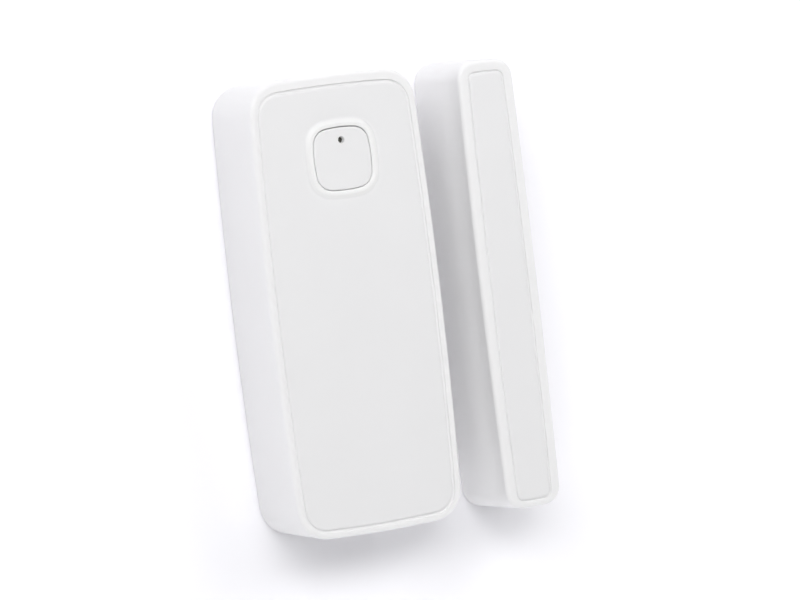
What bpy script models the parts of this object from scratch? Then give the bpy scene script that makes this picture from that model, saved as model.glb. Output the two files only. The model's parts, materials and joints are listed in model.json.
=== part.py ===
"""Door contact sensor: a battery-powered reed-switch unit and its magnet bar, both lying on their backs.

Frame: +Z points out of the front faces, +Y towards the button end, +X from the sensor to the magnet.
The origin is on the plane that the adhesive pads stick to, under the middle of the sensor unit.
"""

import math

import bmesh
import bpy
from mathutils import Matrix, Vector

MM = 0.001

# Both units: outside height, and the plane where the housings' back edges stand off the wall
FRONT_Z = 20.0 * MM
BACK_Z = 0.3 * MM
PLAY = 0.25 * MM

# Sensor unit: half sizes across the middle of each side, and the radii of its bowed outline
SENSOR_HALF_WIDTH = 18.4 * MM
SENSOR_HALF_LENGTH = 45.0 * MM
SENSOR_SIDE_RADIUS = 1040.0 * MM
SENSOR_END_RADIUS = 230.0 * MM
SENSOR_CORNER_RADIUS = 6.3 * MM
SENSOR_WALL = 1.6 * MM
SENSOR_EDGE_RADIUS = 0.8 * MM

# Magnet unit: a slimmer bowed outline, measured at the front. Its sides spread by the draft towards the back
MAGNET_X = 33.3 * MM
MAGNET_Y = -0.6 * MM
MAGNET_HALF_WIDTH = 6.35 * MM
MAGNET_HALF_LENGTH = 44.7 * MM
MAGNET_DRAFT = 0.5 * MM
MAGNET_SIDE_RADIUS = 2300.0 * MM
MAGNET_END_RADIUS = 40.0 * MM
MAGNET_CORNER_RADIUS = 3.6 * MM
MAGNET_WALL = 1.3 * MM
MAGNET_EDGE_RADIUS = 0.8 * MM

# Front: a web closes each housing, and a panel with a thin lip lies in a stepped pocket over it
WEB_BOTTOM = FRONT_Z - 2.2 * MM
WEB_TOP = FRONT_Z - 1.3 * MM
LEDGE_Z = FRONT_Z - 0.28 * MM
LIP_BOTTOM = LEDGE_Z + 0.05 * MM
PANEL_BOTTOM = WEB_TOP + 0.3 * MM
LEDGE_WIDTH = 0.85 * MM
LIP_WIDTH = 0.35 * MM
SENSOR_SIDE_RIM = 1.32 * MM
SENSOR_END_RIM = 1.62 * MM
SENSOR_GROOVE = 0.46 * MM
MAGNET_SIDE_RIM = 2.04 * MM
MAGNET_END_RIM = 1.69 * MM
MAGNET_GROOVE = 0.32 * MM
LIP_OVERLAP = 0.1 * MM
POST_OVERLAP = 0.3 * MM

# Button: a squarish cap in a raised ring on the panel, a little off the unit's centre line
BUTTON_X = 0.45 * MM
BUTTON_Y = 28.55 * MM
BUTTON_HALF = 5.95 * MM
BUTTON_SIDE_RADIUS = 26.0 * MM
BUTTON_CORNER_RADIUS = 3.0 * MM
BUTTON_GAP = 0.25 * MM
BUTTON_TOP = FRONT_Z + 0.35 * MM
BUTTON_EDGE_RADIUS = 0.2 * MM
BUTTON_CROWN = 1.25 * MM
BUTTON_WALL = 1.2 * MM
BUTTON_FLANGE_BOTTOM = 16.7 * MM
BUTTON_FLANGE_TOP = 17.4 * MM
BUTTON_FLANGE_OVERHANG = 0.9 * MM
BUTTON_FLANGE_INSET = 0.6 * MM
BUTTON_STEM_RADIUS = 1.2 * MM
BUTTON_STEM_BOTTOM = 16.85 * MM
BEZEL_WIDTH = 1.1 * MM
BEZEL_TOP = FRONT_Z + 0.55 * MM
BEZEL_EDGE_RADIUS = 0.38 * MM
LED_Y = BUTTON_Y + 3.65 * MM
LED_HOLE_RADIUS = 0.7 * MM
LIGHT_PIPE_RADIUS = 1.0 * MM
LIGHT_PIPE_BOTTOM = 16.2 * MM
LIGHT_PIPE_SOCKET_RADIUS = 1.7 * MM
LIGHT_PIPE_SOCKET_BOTTOM = 17.6 * MM

# Push switch under the button
SWITCH_HALF = 2.25 * MM
SWITCH_TOP = 16.2 * MM
SWITCH_WELL_RADIUS = 1.25 * MM
SWITCH_WELL_BOTTOM = 15.4 * MM
SWITCH_PLUNGER_RADIUS = 1.1 * MM
SWITCH_PLUNGER_BOTTOM = 15.9 * MM
SWITCH_PLUNGER_TOP = 16.75 * MM

# Circuit board, held to posts inside the front housing
BOARD_BOTTOM = 13.7 * MM
BOARD_TOP = 14.7 * MM
BOARD_HALF_WIDTH = 15.6 * MM
BOARD_HALF_LENGTH = 42.3 * MM
BOARD_CORNER_RADIUS = 4.2 * MM
UPPER_SCREW = Vector((13.6, 37.0)) * MM
LOWER_SCREW = Vector((13.9, -36.0)) * MM
SCREW_SHANK_RADIUS = 0.7 * MM
SCREW_HEAD_RADIUS = 1.5 * MM
SCREW_HEAD_HEIGHT = 1.4 * MM
SCREW_TIP = 17.3 * MM
SCREW_HOLE_RADIUS = 1.1 * MM
POST_RADIUS = 1.9 * MM
POST_BOTTOM = BOARD_TOP + 0.2 * MM
SOLDER_GAP = 0.05 * MM

# Two AAA cells side by side, the right one turned round
CELL_RADIUS = 5.25 * MM
CELL_BODY_LENGTH = 43.5 * MM
CELL_NUB_RADIUS = 1.9 * MM
CELL_NUB_LENGTH = 1.0 * MM
CELL_X = 5.45 * MM
CELL_Z = 7.7 * MM
HOLDER_HALF_WIDTH = 11.95 * MM
HOLDER_END_LOW = -42.0 * MM
HOLDER_END_HIGH = 10.2 * MM
HOLDER_WALL = 1.0 * MM
HOLDER_BOTTOM = 5.0 * MM
HOLDER_TOP = 13.4 * MM
HOLDER_ROOF = 0.4 * MM
TERMINAL_SLOT_HALF = 7.0 * MM
FINGER_NOTCHES = (-30.0 * MM, -2.0 * MM)
FINGER_NOTCH_HALF = 6.0 * MM
FINGER_NOTCH_TOP = HOLDER_BOTTOM + 2.5 * MM
CONTACT_THICKNESS = 0.4 * MM
CONTACT_BOTTOM = 4.6 * MM
CONTACT_TOP = 11.2 * MM
CONTACT_EDGE_X = 9.4 * MM
TERMINAL_INNER_X = 1.4 * MM
TERMINAL_TAB_HALF = 1.0 * MM
CONTACT_LOW_Y = -40.7 * MM
CONTACT_HIGH_Y = 8.5 * MM
SPRING_WIRE_RADIUS = 0.25 * MM
SPRING_WIDE_RADIUS = 3.2 * MM
SPRING_NARROW_RADIUS = 1.6 * MM
SPRING_START = 0.3 * MM
SPRING_REACH = 3.2 * MM
SPRING_TURNS = 4

# Reed switch along the side that faces the magnet
REED_X = 13.6 * MM
REED_Z = 16.2 * MM
REED_HALF_LENGTH = 7.0 * MM
REED_RADIUS = 1.1 * MM
REED_LEAD_RADIUS = 0.25 * MM
REED_LEAD_END = 10.6 * MM

# Tamper switch, whose plunger reaches through the rear cover to the wall
TAMPER_X = -8.5 * MM
TAMPER_Y = 26.0 * MM
TAMPER_HALF = 3.0 * MM
TAMPER_BOTTOM = 9.15 * MM
TAMPER_PLUNGER_RADIUS = 1.5 * MM
TAMPER_PLUNGER_TOP = 11.0 * MM
TAMPER_BORE_TOP = 12.35 * MM
TAMPER_HOLE_RADIUS = 2.2 * MM

# Other parts on the board
RADIO_LOW = Vector((1.0, 16.0, 11.3)) * MM
RADIO_SIZE = Vector((12.0, 16.0)) * MM
CHIP_LOW = Vector((-9.0, 4.0)) * MM
CHIP_WIDTH = 7.0 * MM
CHIP_HEIGHT = 0.9 * MM
LENS_SIZE = Vector((2.0, 1.2, 0.75)) * MM
CAPACITOR_PLACE = Vector((-10.5, 15.5, 6.6)) * MM
CAPACITOR_RADIUS = 2.5 * MM
ANTENNA_PLACE = Vector((-7.5, 38.0, 9.6)) * MM
ANTENNA_COIL_RADIUS = 1.9 * MM
ANTENNA_WIRE_RADIUS = 0.3 * MM
ANTENNA_PITCH = 1.6 * MM
ANTENNA_TURNS = 8

# Rear covers and adhesive pads
SENSOR_COVER_TOP = 2.1 * MM
MAGNET_COVER_TOP = 1.9 * MM
PAD_THICKNESS = 1.0 * MM
SENSOR_PAD_Y = -6.0 * MM
SENSOR_PAD_HALF_WIDTH = 11.0 * MM
SENSOR_PAD_HALF_LENGTH = 22.0 * MM
MAGNET_PAD_HALF_WIDTH = 3.5 * MM
MAGNET_PAD_HALF_LENGTH = 30.0 * MM
SENSOR_TONGUE_X = 15.6 * MM
SENSOR_TONGUE_Y = 26.0 * MM
SENSOR_TONGUE_TOP = 6.5 * MM
MAGNET_TONGUE_X = 3.8 * MM
MAGNET_TONGUE_Y = 24.0 * MM
MAGNET_TONGUE_TOP = 6.0 * MM
TONGUE_BOTTOM = 1.5 * MM
TONGUE_HALF_THICKNESS = 0.5 * MM
TONGUE_HALF_WIDTH = 3.0 * MM
WALL_SCREW_RADIUS = 1.9 * MM
SENSOR_WALL_SCREWS = (-34.0 * MM, 33.0 * MM)
MAGNET_WALL_SCREWS = (MAGNET_Y - 37.0 * MM, MAGNET_Y + 37.0 * MM)

# Bar magnet
BAR_HALF_WIDTH = 4.0 * MM
BAR_HALF_LENGTH = 15.0 * MM
BAR_BOTTOM = 12.6 * MM
BAR_TOP = 17.5 * MM
BAR_RIB_Y = BAR_HALF_LENGTH + 0.8 * MM
RIB_HALF_THICKNESS = 0.5 * MM
FOAM_HALF_WIDTH = 3.5 * MM
FOAM_HALF_LENGTH = 14.0 * MM
FOAM_BOTTOM = 11.6 * MM
FOAM_RIB_X = 2.5 * MM
FOAM_RIB_TOP = 11.4 * MM

# How far a cutter runs past what it cuts, and how far joined shapes run into each other
PAST = 1.0 * MM

SIDE_STEPS = 5
CORNER_STEPS = 8
END_STEPS = 3
ROUND_STEPS = 32
SMALL_ROUND_STEPS = 16
WIRE_SIDES_RESOLUTION = 2
COIL_STEPS = 12


# ---------------------------------------------------------------------------------------------------
# Scene, materials and general shapes


def clear_scene():
    for piece in list(bpy.data.objects):
        bpy.data.objects.remove(piece, do_unlink=True)


def new_collection(name):
    collection = bpy.data.collections.new(name)
    bpy.context.scene.collection.children.link(collection)
    return collection


def new_material(name, colour, roughness, metallic=0.0):
    material = bpy.data.materials.new(name)
    material.use_nodes = True
    shader = material.node_tree.nodes["Principled BSDF"]
    shader.inputs["Base Color"].default_value = (*colour, 1.0)
    shader.inputs["Roughness"].default_value = roughness
    shader.inputs["Metallic"].default_value = metallic
    material.diffuse_color = (*colour, 1.0)
    return material


def place(name, mesh, material, location=(0.0, 0.0, 0.0)):
    """An object of the mesh: a part if it has a material, or else a hidden helper for a Boolean."""
    piece = bpy.data.objects.new(name, mesh)
    piece.location = location
    if material is None:
        piece.hide_render = True
        piece.display_type = "WIRE"
        HELPERS.objects.link(piece)
    else:
        mesh.materials.append(material)
        PARTS.objects.link(piece)
    return piece


def mesh_of_bmesh(name, shape):
    bmesh.ops.recalc_face_normals(shape, faces=shape.faces)
    mesh = bpy.data.meshes.new(name)
    shape.to_mesh(mesh)
    shape.free()
    shade(mesh)
    return mesh


def shade(mesh):
    mesh.shade_smooth()
    mesh.set_sharp_from_angle(angle=math.radians(35.0))


def mesh_of_curve(curve_object):
    """The welded mesh of a curve, whose own object is removed."""
    graph = bpy.context.evaluated_depsgraph_get()
    mesh = bpy.data.meshes.new_from_object(curve_object.evaluated_get(graph))
    bpy.data.objects.remove(curve_object, do_unlink=True)
    shape = bmesh.new()
    shape.from_mesh(mesh)
    bpy.data.meshes.remove(mesh)
    bmesh.ops.remove_doubles(shape, verts=shape.verts, dist=1e-6)
    return shape


def slab(name, outlines, bottom, top, material=None, centre=(0.0, 0.0), round_top=0.0, steps=3):
    """A flat solid between two heights. Outlines after the first are holes, and round_top is a fillet."""
    curve = bpy.data.curves.new(name, "CURVE")
    curve.dimensions = "2D"
    curve.fill_mode = "BOTH"
    curve.extrude = (top - bottom) / 2
    for outline in outlines:
        spline = curve.splines.new("POLY")
        spline.points.add(len(outline) - 1)
        for point, (x, y) in zip(spline.points, outline):
            point.co = (x, y, 0.0, 1.0)
        spline.use_cyclic_u = True
    guide = bpy.data.objects.new(name, curve)
    HELPERS.objects.link(guide)
    bpy.context.view_layer.update()
    shape = mesh_of_curve(guide)
    bmesh.ops.dissolve_limit(shape, angle_limit=math.radians(0.05), verts=[], edges=shape.edges)
    bmesh.ops.translate(shape, verts=shape.verts, vec=(0.0, 0.0, (top - bottom) / 2))
    if round_top:
        round_rim(shape, top - bottom, round_top, steps)
    return place(name, mesh_of_bmesh(name, shape), material, (*centre, bottom))


def round_rim(shape, height, radius, steps):
    """Rounds the edges that bound the faces at this height."""
    rim = []
    for edge in shape.edges:
        level = all(abs(vert.co.z - height) < 1e-6 for vert in edge.verts)
        if level and edge.calc_face_angle(0.0) > math.radians(45.0):
            rim.append(edge)
    bmesh.ops.bevel(shape, geom=rim, offset=radius, segments=steps, profile=0.5, affect="EDGES")


def block(name, low, high, material=None, bevel=0.0):
    """A box between two corners, with its origin at its middle."""
    low = Vector(low)
    high = Vector(high)
    shape = bmesh.new()
    bmesh.ops.create_cube(shape, size=1.0, matrix=Matrix.Diagonal((*(high - low), 1.0)))
    if bevel:
        bmesh.ops.bevel(shape, geom=shape.edges, offset=bevel, segments=2, profile=0.5, affect="EDGES")
    return place(name, mesh_of_bmesh(name, shape), material, (low + high) / 2)


def rod(name, radius, start, top, material=None, end_radius=None, steps=SMALL_ROUND_STEPS):
    """An upright cylinder or cone from its start to a height, with its origin at its start."""
    length = top - start[2]
    shape = bmesh.new()
    far_radius = radius if end_radius is None else end_radius
    along = Matrix.Translation((0.0, 0.0, length / 2))
    bmesh.ops.create_cone(
        shape, cap_ends=True, segments=steps, radius1=radius, radius2=far_radius, depth=length, matrix=along
    )
    return place(name, mesh_of_bmesh(name, shape), material, start)


def turned(name, profile, material, location, steps=ROUND_STEPS, turn_to_y=0, closed=False):
    """A Screw of the profile, given as (radius, height) down its outer side. turn_to_y lays it along Y."""
    mesh = bpy.data.meshes.new(name)
    edges = [(index, index + 1) for index in range(len(profile) - 1)]
    if closed:
        edges.append((len(profile) - 1, 0))
    mesh.from_pydata([(radius, 0.0, height) for radius, height in profile], edges, [])
    piece = place(name, mesh, material, location)
    piece.rotation_euler.x = -turn_to_y * math.pi / 2
    screw = piece.modifiers.new("turn", "SCREW")
    screw.axis = "Z"
    screw.steps = steps
    screw.render_steps = steps
    screw.use_merge_vertices = True
    screw.merge_threshold = 1e-6
    screw.use_smooth_shade = True
    return piece


def wire(name, points, radius, material, location):
    """A round wire along the points, which are relative to its location."""
    curve = bpy.data.curves.new(name, "CURVE")
    curve.dimensions = "3D"
    curve.bevel_depth = radius
    curve.bevel_resolution = WIRE_SIDES_RESOLUTION
    curve.use_fill_caps = True
    spline = curve.splines.new("POLY")
    spline.points.add(len(points) - 1)
    for point, place_of_point in zip(spline.points, points):
        point.co = (*place_of_point, 1.0)
    guide = bpy.data.objects.new(name, curve)
    HELPERS.objects.link(guide)
    bpy.context.view_layer.update()
    return place(name, mesh_of_bmesh(name, mesh_of_curve(guide)), material, location)


def spread(piece, growth_x, growth_y, top):
    """Widens a straight piece towards its foot, by these growths there and by nothing at the top."""
    half_width = piece.dimensions.x / 2
    half_length = piece.dimensions.y / 2
    for vert in piece.data.vertices:
        share = 1 - vert.co.z / top
        vert.co.x *= 1 + growth_x / half_width * share
        vert.co.y *= 1 + growth_y / half_length * share


def combine(piece, other, operation):
    boolean = piece.modifiers.new(other.name, "BOOLEAN")
    boolean.operation = operation
    boolean.solver = "EXACT"
    boolean.object = other


def cut(piece, *cutters):
    for cutter in cutters:
        combine(piece, cutter, "DIFFERENCE")


def join(piece, *helpers):
    for helper in helpers:
        combine(piece, helper, "UNION")


# ---------------------------------------------------------------------------------------------------
# Outlines


def arc(centre, radius, start, stop, steps):
    """Points on an arc, from its start up to but not including its stop."""
    points = []
    for step in range(steps):
        angle = start + (stop - start) * step / steps
        points.append((centre.x + radius * math.cos(angle), centre.y + radius * math.sin(angle)))
    return points


def four_quarters(quarter):
    """A whole outline from its first quadrant, which runs from +X to just before +Y, where it ends."""
    inner = quarter[1:-1]
    outline = list(quarter)
    outline += [(-x, y) for x, y in reversed(inner)]
    outline += [(-x, -y) for x, y in quarter]
    outline += [(x, -y) for x, y in reversed(inner)]
    return outline


def bowed_outline(half_width, half_length, side_radius, end_radius, corner_radius):
    """A rounded rectangle whose four sides bow outwards, all its arcs tangent to each other."""
    side_centre = Vector((half_width - side_radius, 0.0))
    end_centre = Vector((0.0, half_length - end_radius))
    apart = end_centre - side_centre
    from_side = side_radius - corner_radius
    from_end = end_radius - corner_radius
    along = (from_side**2 - from_end**2 + apart.length_squared) / (2 * apart.length)
    across = math.sqrt(from_side**2 - along**2)
    direction = apart.normalized()
    corner = side_centre + direction * along + Vector((-direction.y, direction.x)) * across
    to_corner = math.atan2(corner.y - side_centre.y, corner.x - side_centre.x)
    from_corner = math.atan2(corner.y - end_centre.y, corner.x - end_centre.x)
    quarter = arc(side_centre, side_radius, 0.0, to_corner, SIDE_STEPS)
    quarter += arc(corner, corner_radius, to_corner, from_corner, CORNER_STEPS)
    quarter += arc(end_centre, end_radius, from_corner, math.pi / 2, END_STEPS)
    quarter.append((0.0, half_length))
    return four_quarters(quarter)


def sensor_outline(side_inset, end_inset=None):
    end_inset = side_inset if end_inset is None else end_inset
    return bowed_outline(
        SENSOR_HALF_WIDTH - side_inset,
        SENSOR_HALF_LENGTH - end_inset,
        SENSOR_SIDE_RADIUS - side_inset,
        SENSOR_END_RADIUS - end_inset,
        SENSOR_CORNER_RADIUS - side_inset,
    )


def magnet_outline(side_inset, end_inset=None):
    end_inset = side_inset if end_inset is None else end_inset
    return bowed_outline(
        MAGNET_HALF_WIDTH - side_inset,
        MAGNET_HALF_LENGTH - end_inset,
        MAGNET_SIDE_RADIUS - side_inset,
        MAGNET_END_RADIUS - end_inset,
        MAGNET_CORNER_RADIUS - side_inset,
    )


def button_outline(growth):
    """The button's squarish outline, grown outwards. Its sides bow alike."""
    return bowed_outline(
        BUTTON_HALF + growth,
        BUTTON_HALF + growth,
        BUTTON_SIDE_RADIUS + growth,
        BUTTON_SIDE_RADIUS + growth,
        BUTTON_CORNER_RADIUS + growth,
    )


def rounded_rectangle(half_width, half_length, corner_radius):
    quarter = arc(
        Vector((half_width - corner_radius, half_length - corner_radius)),
        corner_radius,
        0.0,
        math.pi / 2,
        CORNER_STEPS,
    )
    quarter.append((half_width - corner_radius, half_length))
    outline = list(quarter)
    outline += [(-x, y) for x, y in reversed(quarter)]
    outline += [(-x, -y) for x, y in quarter]
    outline += [(x, -y) for x, y in reversed(quarter)]
    return outline


def circle(radius, centre=(0.0, 0.0)):
    return arc(Vector(centre), radius, 0.0, 2 * math.pi, SMALL_ROUND_STEPS)


def screw_places():
    """The centres of the board's four screws."""
    places = []
    for screw in (UPPER_SCREW, LOWER_SCREW):
        places += [(-screw.x, screw.y), (screw.x, screw.y)]
    return places


# ---------------------------------------------------------------------------------------------------
# Sensor unit: housing, panel and button


def make_front_housing(plastic):
    """One shell: front and side walls, with posts for the board inside. The button comes through it."""
    housing = slab(
        "front_housing",
        [sensor_outline(0.0)],
        BACK_Z,
        FRONT_Z,
        plastic,
        round_top=SENSOR_EDGE_RADIUS,
        steps=4,
    )
    cavity = slab("sensor_cavity", [sensor_outline(SENSOR_WALL)], -PAST, WEB_BOTTOM)
    ledge = sensor_outline(SENSOR_SIDE_RIM, SENSOR_END_RIM)
    groove = slab("sensor_ledge_cut", [ledge], LEDGE_Z, FRONT_Z + PAST)
    deep = sensor_outline(SENSOR_SIDE_RIM + LEDGE_WIDTH, SENSOR_END_RIM + LEDGE_WIDTH)
    pocket = slab("sensor_pocket_cut", [deep], WEB_TOP, FRONT_Z + PAST)
    opening = slab(
        "button_opening",
        [button_outline(BUTTON_GAP)],
        WEB_BOTTOM - PAST,
        FRONT_Z + PAST,
        centre=(BUTTON_X, BUTTON_Y),
    )
    cut(housing, cavity, groove, pocket, opening)
    for number, centre in enumerate(screw_places(), 1):
        post = slab(
            f"board_post_{number}",
            [circle(POST_RADIUS), circle(SCREW_SHANK_RADIUS + 0.1 * MM)],
            POST_BOTTOM,
            WEB_BOTTOM + POST_OVERLAP,
            centre=centre,
        )
        join(housing, post)


def make_front_panel(plastic):
    """The flush panel: a plate with a thin lip round it and a raised ring round the button's hole."""
    side = SENSOR_SIDE_RIM + SENSOR_GROOVE
    end = SENSOR_END_RIM + SENSOR_GROOVE
    bezel_mid = button_outline(BUTTON_GAP + BEZEL_WIDTH / 2)
    button_hole = [(x + BUTTON_X, y + BUTTON_Y) for x, y in bezel_mid]
    panel = slab("front_panel", [sensor_outline(side, end), button_hole], LIP_BOTTOM, FRONT_Z, plastic)
    plate = slab(
        "panel_plate",
        [sensor_outline(side + LIP_WIDTH + PLAY, end + LIP_WIDTH + PLAY), button_hole],
        PANEL_BOTTOM,
        LIP_BOTTOM + LIP_OVERLAP,
    )
    bezel = slab(
        "button_bezel",
        [button_outline(BUTTON_GAP + BEZEL_WIDTH), button_outline(BUTTON_GAP)],
        PANEL_BOTTOM + LIP_OVERLAP,
        BEZEL_TOP,
        centre=(BUTTON_X, BUTTON_Y),
        round_top=BEZEL_EDGE_RADIUS,
    )
    join(panel, plate, bezel)


def make_button(plastic, clear):
    """A hollow cap with a flange that keeps it in, a stem for the switch and a socket for the light pipe."""
    centre = (BUTTON_X, BUTTON_Y)
    button = slab(
        "button",
        [button_outline(0.0)],
        BUTTON_FLANGE_BOTTOM + LIP_OVERLAP,
        BUTTON_TOP,
        plastic,
        centre=centre,
        round_top=BUTTON_EDGE_RADIUS,
        steps=2,
    )
    inside_top = BUTTON_TOP - BUTTON_CROWN
    inside = button_outline(-BUTTON_WALL)
    hollow = slab("button_hollow", [inside], BUTTON_FLANGE_BOTTOM - PAST, inside_top, centre=centre)
    cut(button, hollow)
    flange = slab(
        "button_flange",
        [button_outline(BUTTON_FLANGE_OVERHANG), button_outline(-BUTTON_FLANGE_INSET)],
        BUTTON_FLANGE_BOTTOM,
        BUTTON_FLANGE_TOP,
        centre=centre,
    )
    stem_start = (*centre, BUTTON_STEM_BOTTOM)
    stem = rod("button_stem", BUTTON_STEM_RADIUS, stem_start, inside_top + POST_OVERLAP)
    socket_start = (BUTTON_X, LED_Y, LIGHT_PIPE_SOCKET_BOTTOM)
    socket = rod("light_pipe_socket", LIGHT_PIPE_SOCKET_RADIUS, socket_start, inside_top + POST_OVERLAP)
    join(button, flange, stem, socket)
    bore_start = (BUTTON_X, LED_Y, LIGHT_PIPE_SOCKET_BOTTOM - PAST)
    bore = rod("light_pipe_bore", LIGHT_PIPE_RADIUS + 0.05 * MM, bore_start, inside_top)
    pinhole_start = (BUTTON_X, LED_Y, inside_top - PAST)
    pinhole = rod("light_hole", LED_HOLE_RADIUS, pinhole_start, BUTTON_TOP + PAST)
    cut(button, bore, pinhole)
    pipe_start = (BUTTON_X, LED_Y, LIGHT_PIPE_BOTTOM)
    rod("light_pipe", LIGHT_PIPE_RADIUS, pipe_start, inside_top - 0.05 * MM, material=clear)


# ---------------------------------------------------------------------------------------------------
# Sensor unit: board and what is on it


def make_circuit_board(laminate):
    holes = [circle(SCREW_HOLE_RADIUS, centre) for centre in screw_places()]
    outline = rounded_rectangle(BOARD_HALF_WIDTH, BOARD_HALF_LENGTH, BOARD_CORNER_RADIUS)
    slab("circuit_board", [outline, *holes], BOARD_BOTTOM, BOARD_TOP, laminate)


def make_board_screws(steel):
    """Four pan-head screws, put in from the back, each with a slot across its head."""
    head_high = BOARD_BOTTOM - 0.1 * MM
    head_low = head_high - SCREW_HEAD_HEIGHT
    tip = SCREW_TIP - head_low
    profile = [
        (0.0, tip),
        (SCREW_SHANK_RADIUS * 0.5, tip),
        (SCREW_SHANK_RADIUS, tip - 0.6 * MM),
        (SCREW_SHANK_RADIUS, SCREW_HEAD_HEIGHT),
        (SCREW_HEAD_RADIUS, SCREW_HEAD_HEIGHT),
        (SCREW_HEAD_RADIUS, 0.4 * MM),
        (SCREW_HEAD_RADIUS * 0.7, 0.0),
        (0.0, 0.0),
    ]
    half_slot = 0.2 * MM
    slot_depth = 0.5 * MM
    for number, (x, y) in enumerate(screw_places(), 1):
        screw = turned(f"board_screw_{number}", profile, steel, (x, y, head_low), steps=SMALL_ROUND_STEPS)
        slot = block(
            f"screw_slot_{number}",
            (x - SCREW_HEAD_RADIUS - PAST, y - half_slot, head_low - PAST),
            (x + SCREW_HEAD_RADIUS + PAST, y + half_slot, head_low + slot_depth),
        )
        cut(screw, slot)


def make_button_switch(black, steel):
    """The push switch under the button: a square body and the round plunger that the button presses."""
    body = block(
        "button_switch",
        (BUTTON_X - SWITCH_HALF, BUTTON_Y - SWITCH_HALF, BOARD_TOP + SOLDER_GAP),
        (BUTTON_X + SWITCH_HALF, BUTTON_Y + SWITCH_HALF, SWITCH_TOP),
        black,
        bevel=0.15 * MM,
    )
    well_start = (BUTTON_X, BUTTON_Y, SWITCH_WELL_BOTTOM)
    well = rod("switch_well", SWITCH_WELL_RADIUS, well_start, SWITCH_TOP + PAST)
    cut(body, well)
    plunger_start = (BUTTON_X, BUTTON_Y, SWITCH_PLUNGER_BOTTOM)
    rod("button_switch_plunger", SWITCH_PLUNGER_RADIUS, plunger_start, SWITCH_PLUNGER_TOP, material=steel)


def make_status_led(lens):
    low = Vector((BUTTON_X - LENS_SIZE.x / 2, LED_Y - LENS_SIZE.y / 2, BOARD_TOP + SOLDER_GAP))
    block("status_led", low, low + LENS_SIZE, lens, bevel=0.1 * MM)


def make_microcontroller(black):
    low = Vector((*CHIP_LOW, BOARD_TOP + SOLDER_GAP))
    block("microcontroller", low, low + Vector((CHIP_WIDTH, CHIP_WIDTH, CHIP_HEIGHT)), black, bevel=0.12 * MM)


def make_reed_switch(glass, steel):
    """A glass tube drawn in at its ends round two nickel-iron blades that overlap in its middle."""
    neck = REED_LEAD_RADIUS + 0.05 * MM
    wall = 0.28 * MM
    half = REED_HALF_LENGTH
    outside = [
        (neck, half),
        (0.75 * MM, half - 0.25 * MM),
        (REED_RADIUS, half - 1.1 * MM),
        (REED_RADIUS, 1.1 * MM - half),
        (0.75 * MM, 0.25 * MM - half),
        (neck, -half),
    ]
    inside = [
        (neck, 0.9 * MM - half),
        (REED_RADIUS - wall, 1.7 * MM - half),
        (REED_RADIUS - wall, half - 1.7 * MM),
        (neck, half - 0.9 * MM),
    ]
    turned(
        "reed_switch_glass",
        outside + inside,
        glass,
        (REED_X, 0.0, REED_Z),
        steps=SMALL_ROUND_STEPS,
        turn_to_y=1,
        closed=True,
    )
    drop = BOARD_TOP + SOLDER_GAP - REED_Z
    for side, name in ((1, "reed_blade_upper"), (-1, "reed_blade_lower")):
        offset = side * 0.32 * MM
        points = [
            (0.0, -side * 0.9 * MM, offset),
            (0.0, side * 2.5 * MM, offset),
            (0.0, side * 5.0 * MM, 0.0),
            (0.0, side * (REED_LEAD_END - 0.6 * MM), 0.0),
            (0.0, side * (REED_LEAD_END - 0.15 * MM), -0.2 * MM),
            (0.0, side * REED_LEAD_END, -0.6 * MM),
            (0.0, side * REED_LEAD_END, drop),
        ]
        wire(name, points, REED_LEAD_RADIUS, steel, (REED_X, 0.0, REED_Z))


def make_radio_module(nickel):
    high = (RADIO_LOW.x + RADIO_SIZE.x, RADIO_LOW.y + RADIO_SIZE.y, BOARD_BOTTOM - SOLDER_GAP)
    block("radio_module", RADIO_LOW, high, nickel, bevel=0.3 * MM)


def make_capacitor(aluminium):
    radius = CAPACITOR_RADIUS
    height = BOARD_BOTTOM - SOLDER_GAP - CAPACITOR_PLACE.z
    profile = [
        (0.0, height),
        (radius, height),
        (radius, 1.6 * MM),
        (radius * 0.9, 1.35 * MM),
        (radius, 1.1 * MM),
        (radius, 0.2 * MM),
        (radius * 0.92, 0.0),
        (0.0, 0.0),
    ]
    turned("capacitor", profile, aluminium, CAPACITOR_PLACE, steps=24)


def make_antenna(copper):
    """A short helix of copper wire along X, with its first end bent up to the board."""
    board = BOARD_BOTTOM - SOLDER_GAP - ANTENNA_PLACE.z
    points = [(0.0, 0.0, board), (0.0, 0.0, 3.0 * MM)]
    for step in range(ANTENNA_TURNS * COIL_STEPS + 1):
        angle = 2 * math.pi * step / COIL_STEPS
        along = ANTENNA_PITCH * (step / COIL_STEPS + 0.4)
        across = ANTENNA_COIL_RADIUS * math.sin(angle)
        points.append((along, across, ANTENNA_COIL_RADIUS * math.cos(angle)))
    wire("antenna_coil", points, ANTENNA_WIRE_RADIUS, copper, ANTENNA_PLACE)


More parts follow.
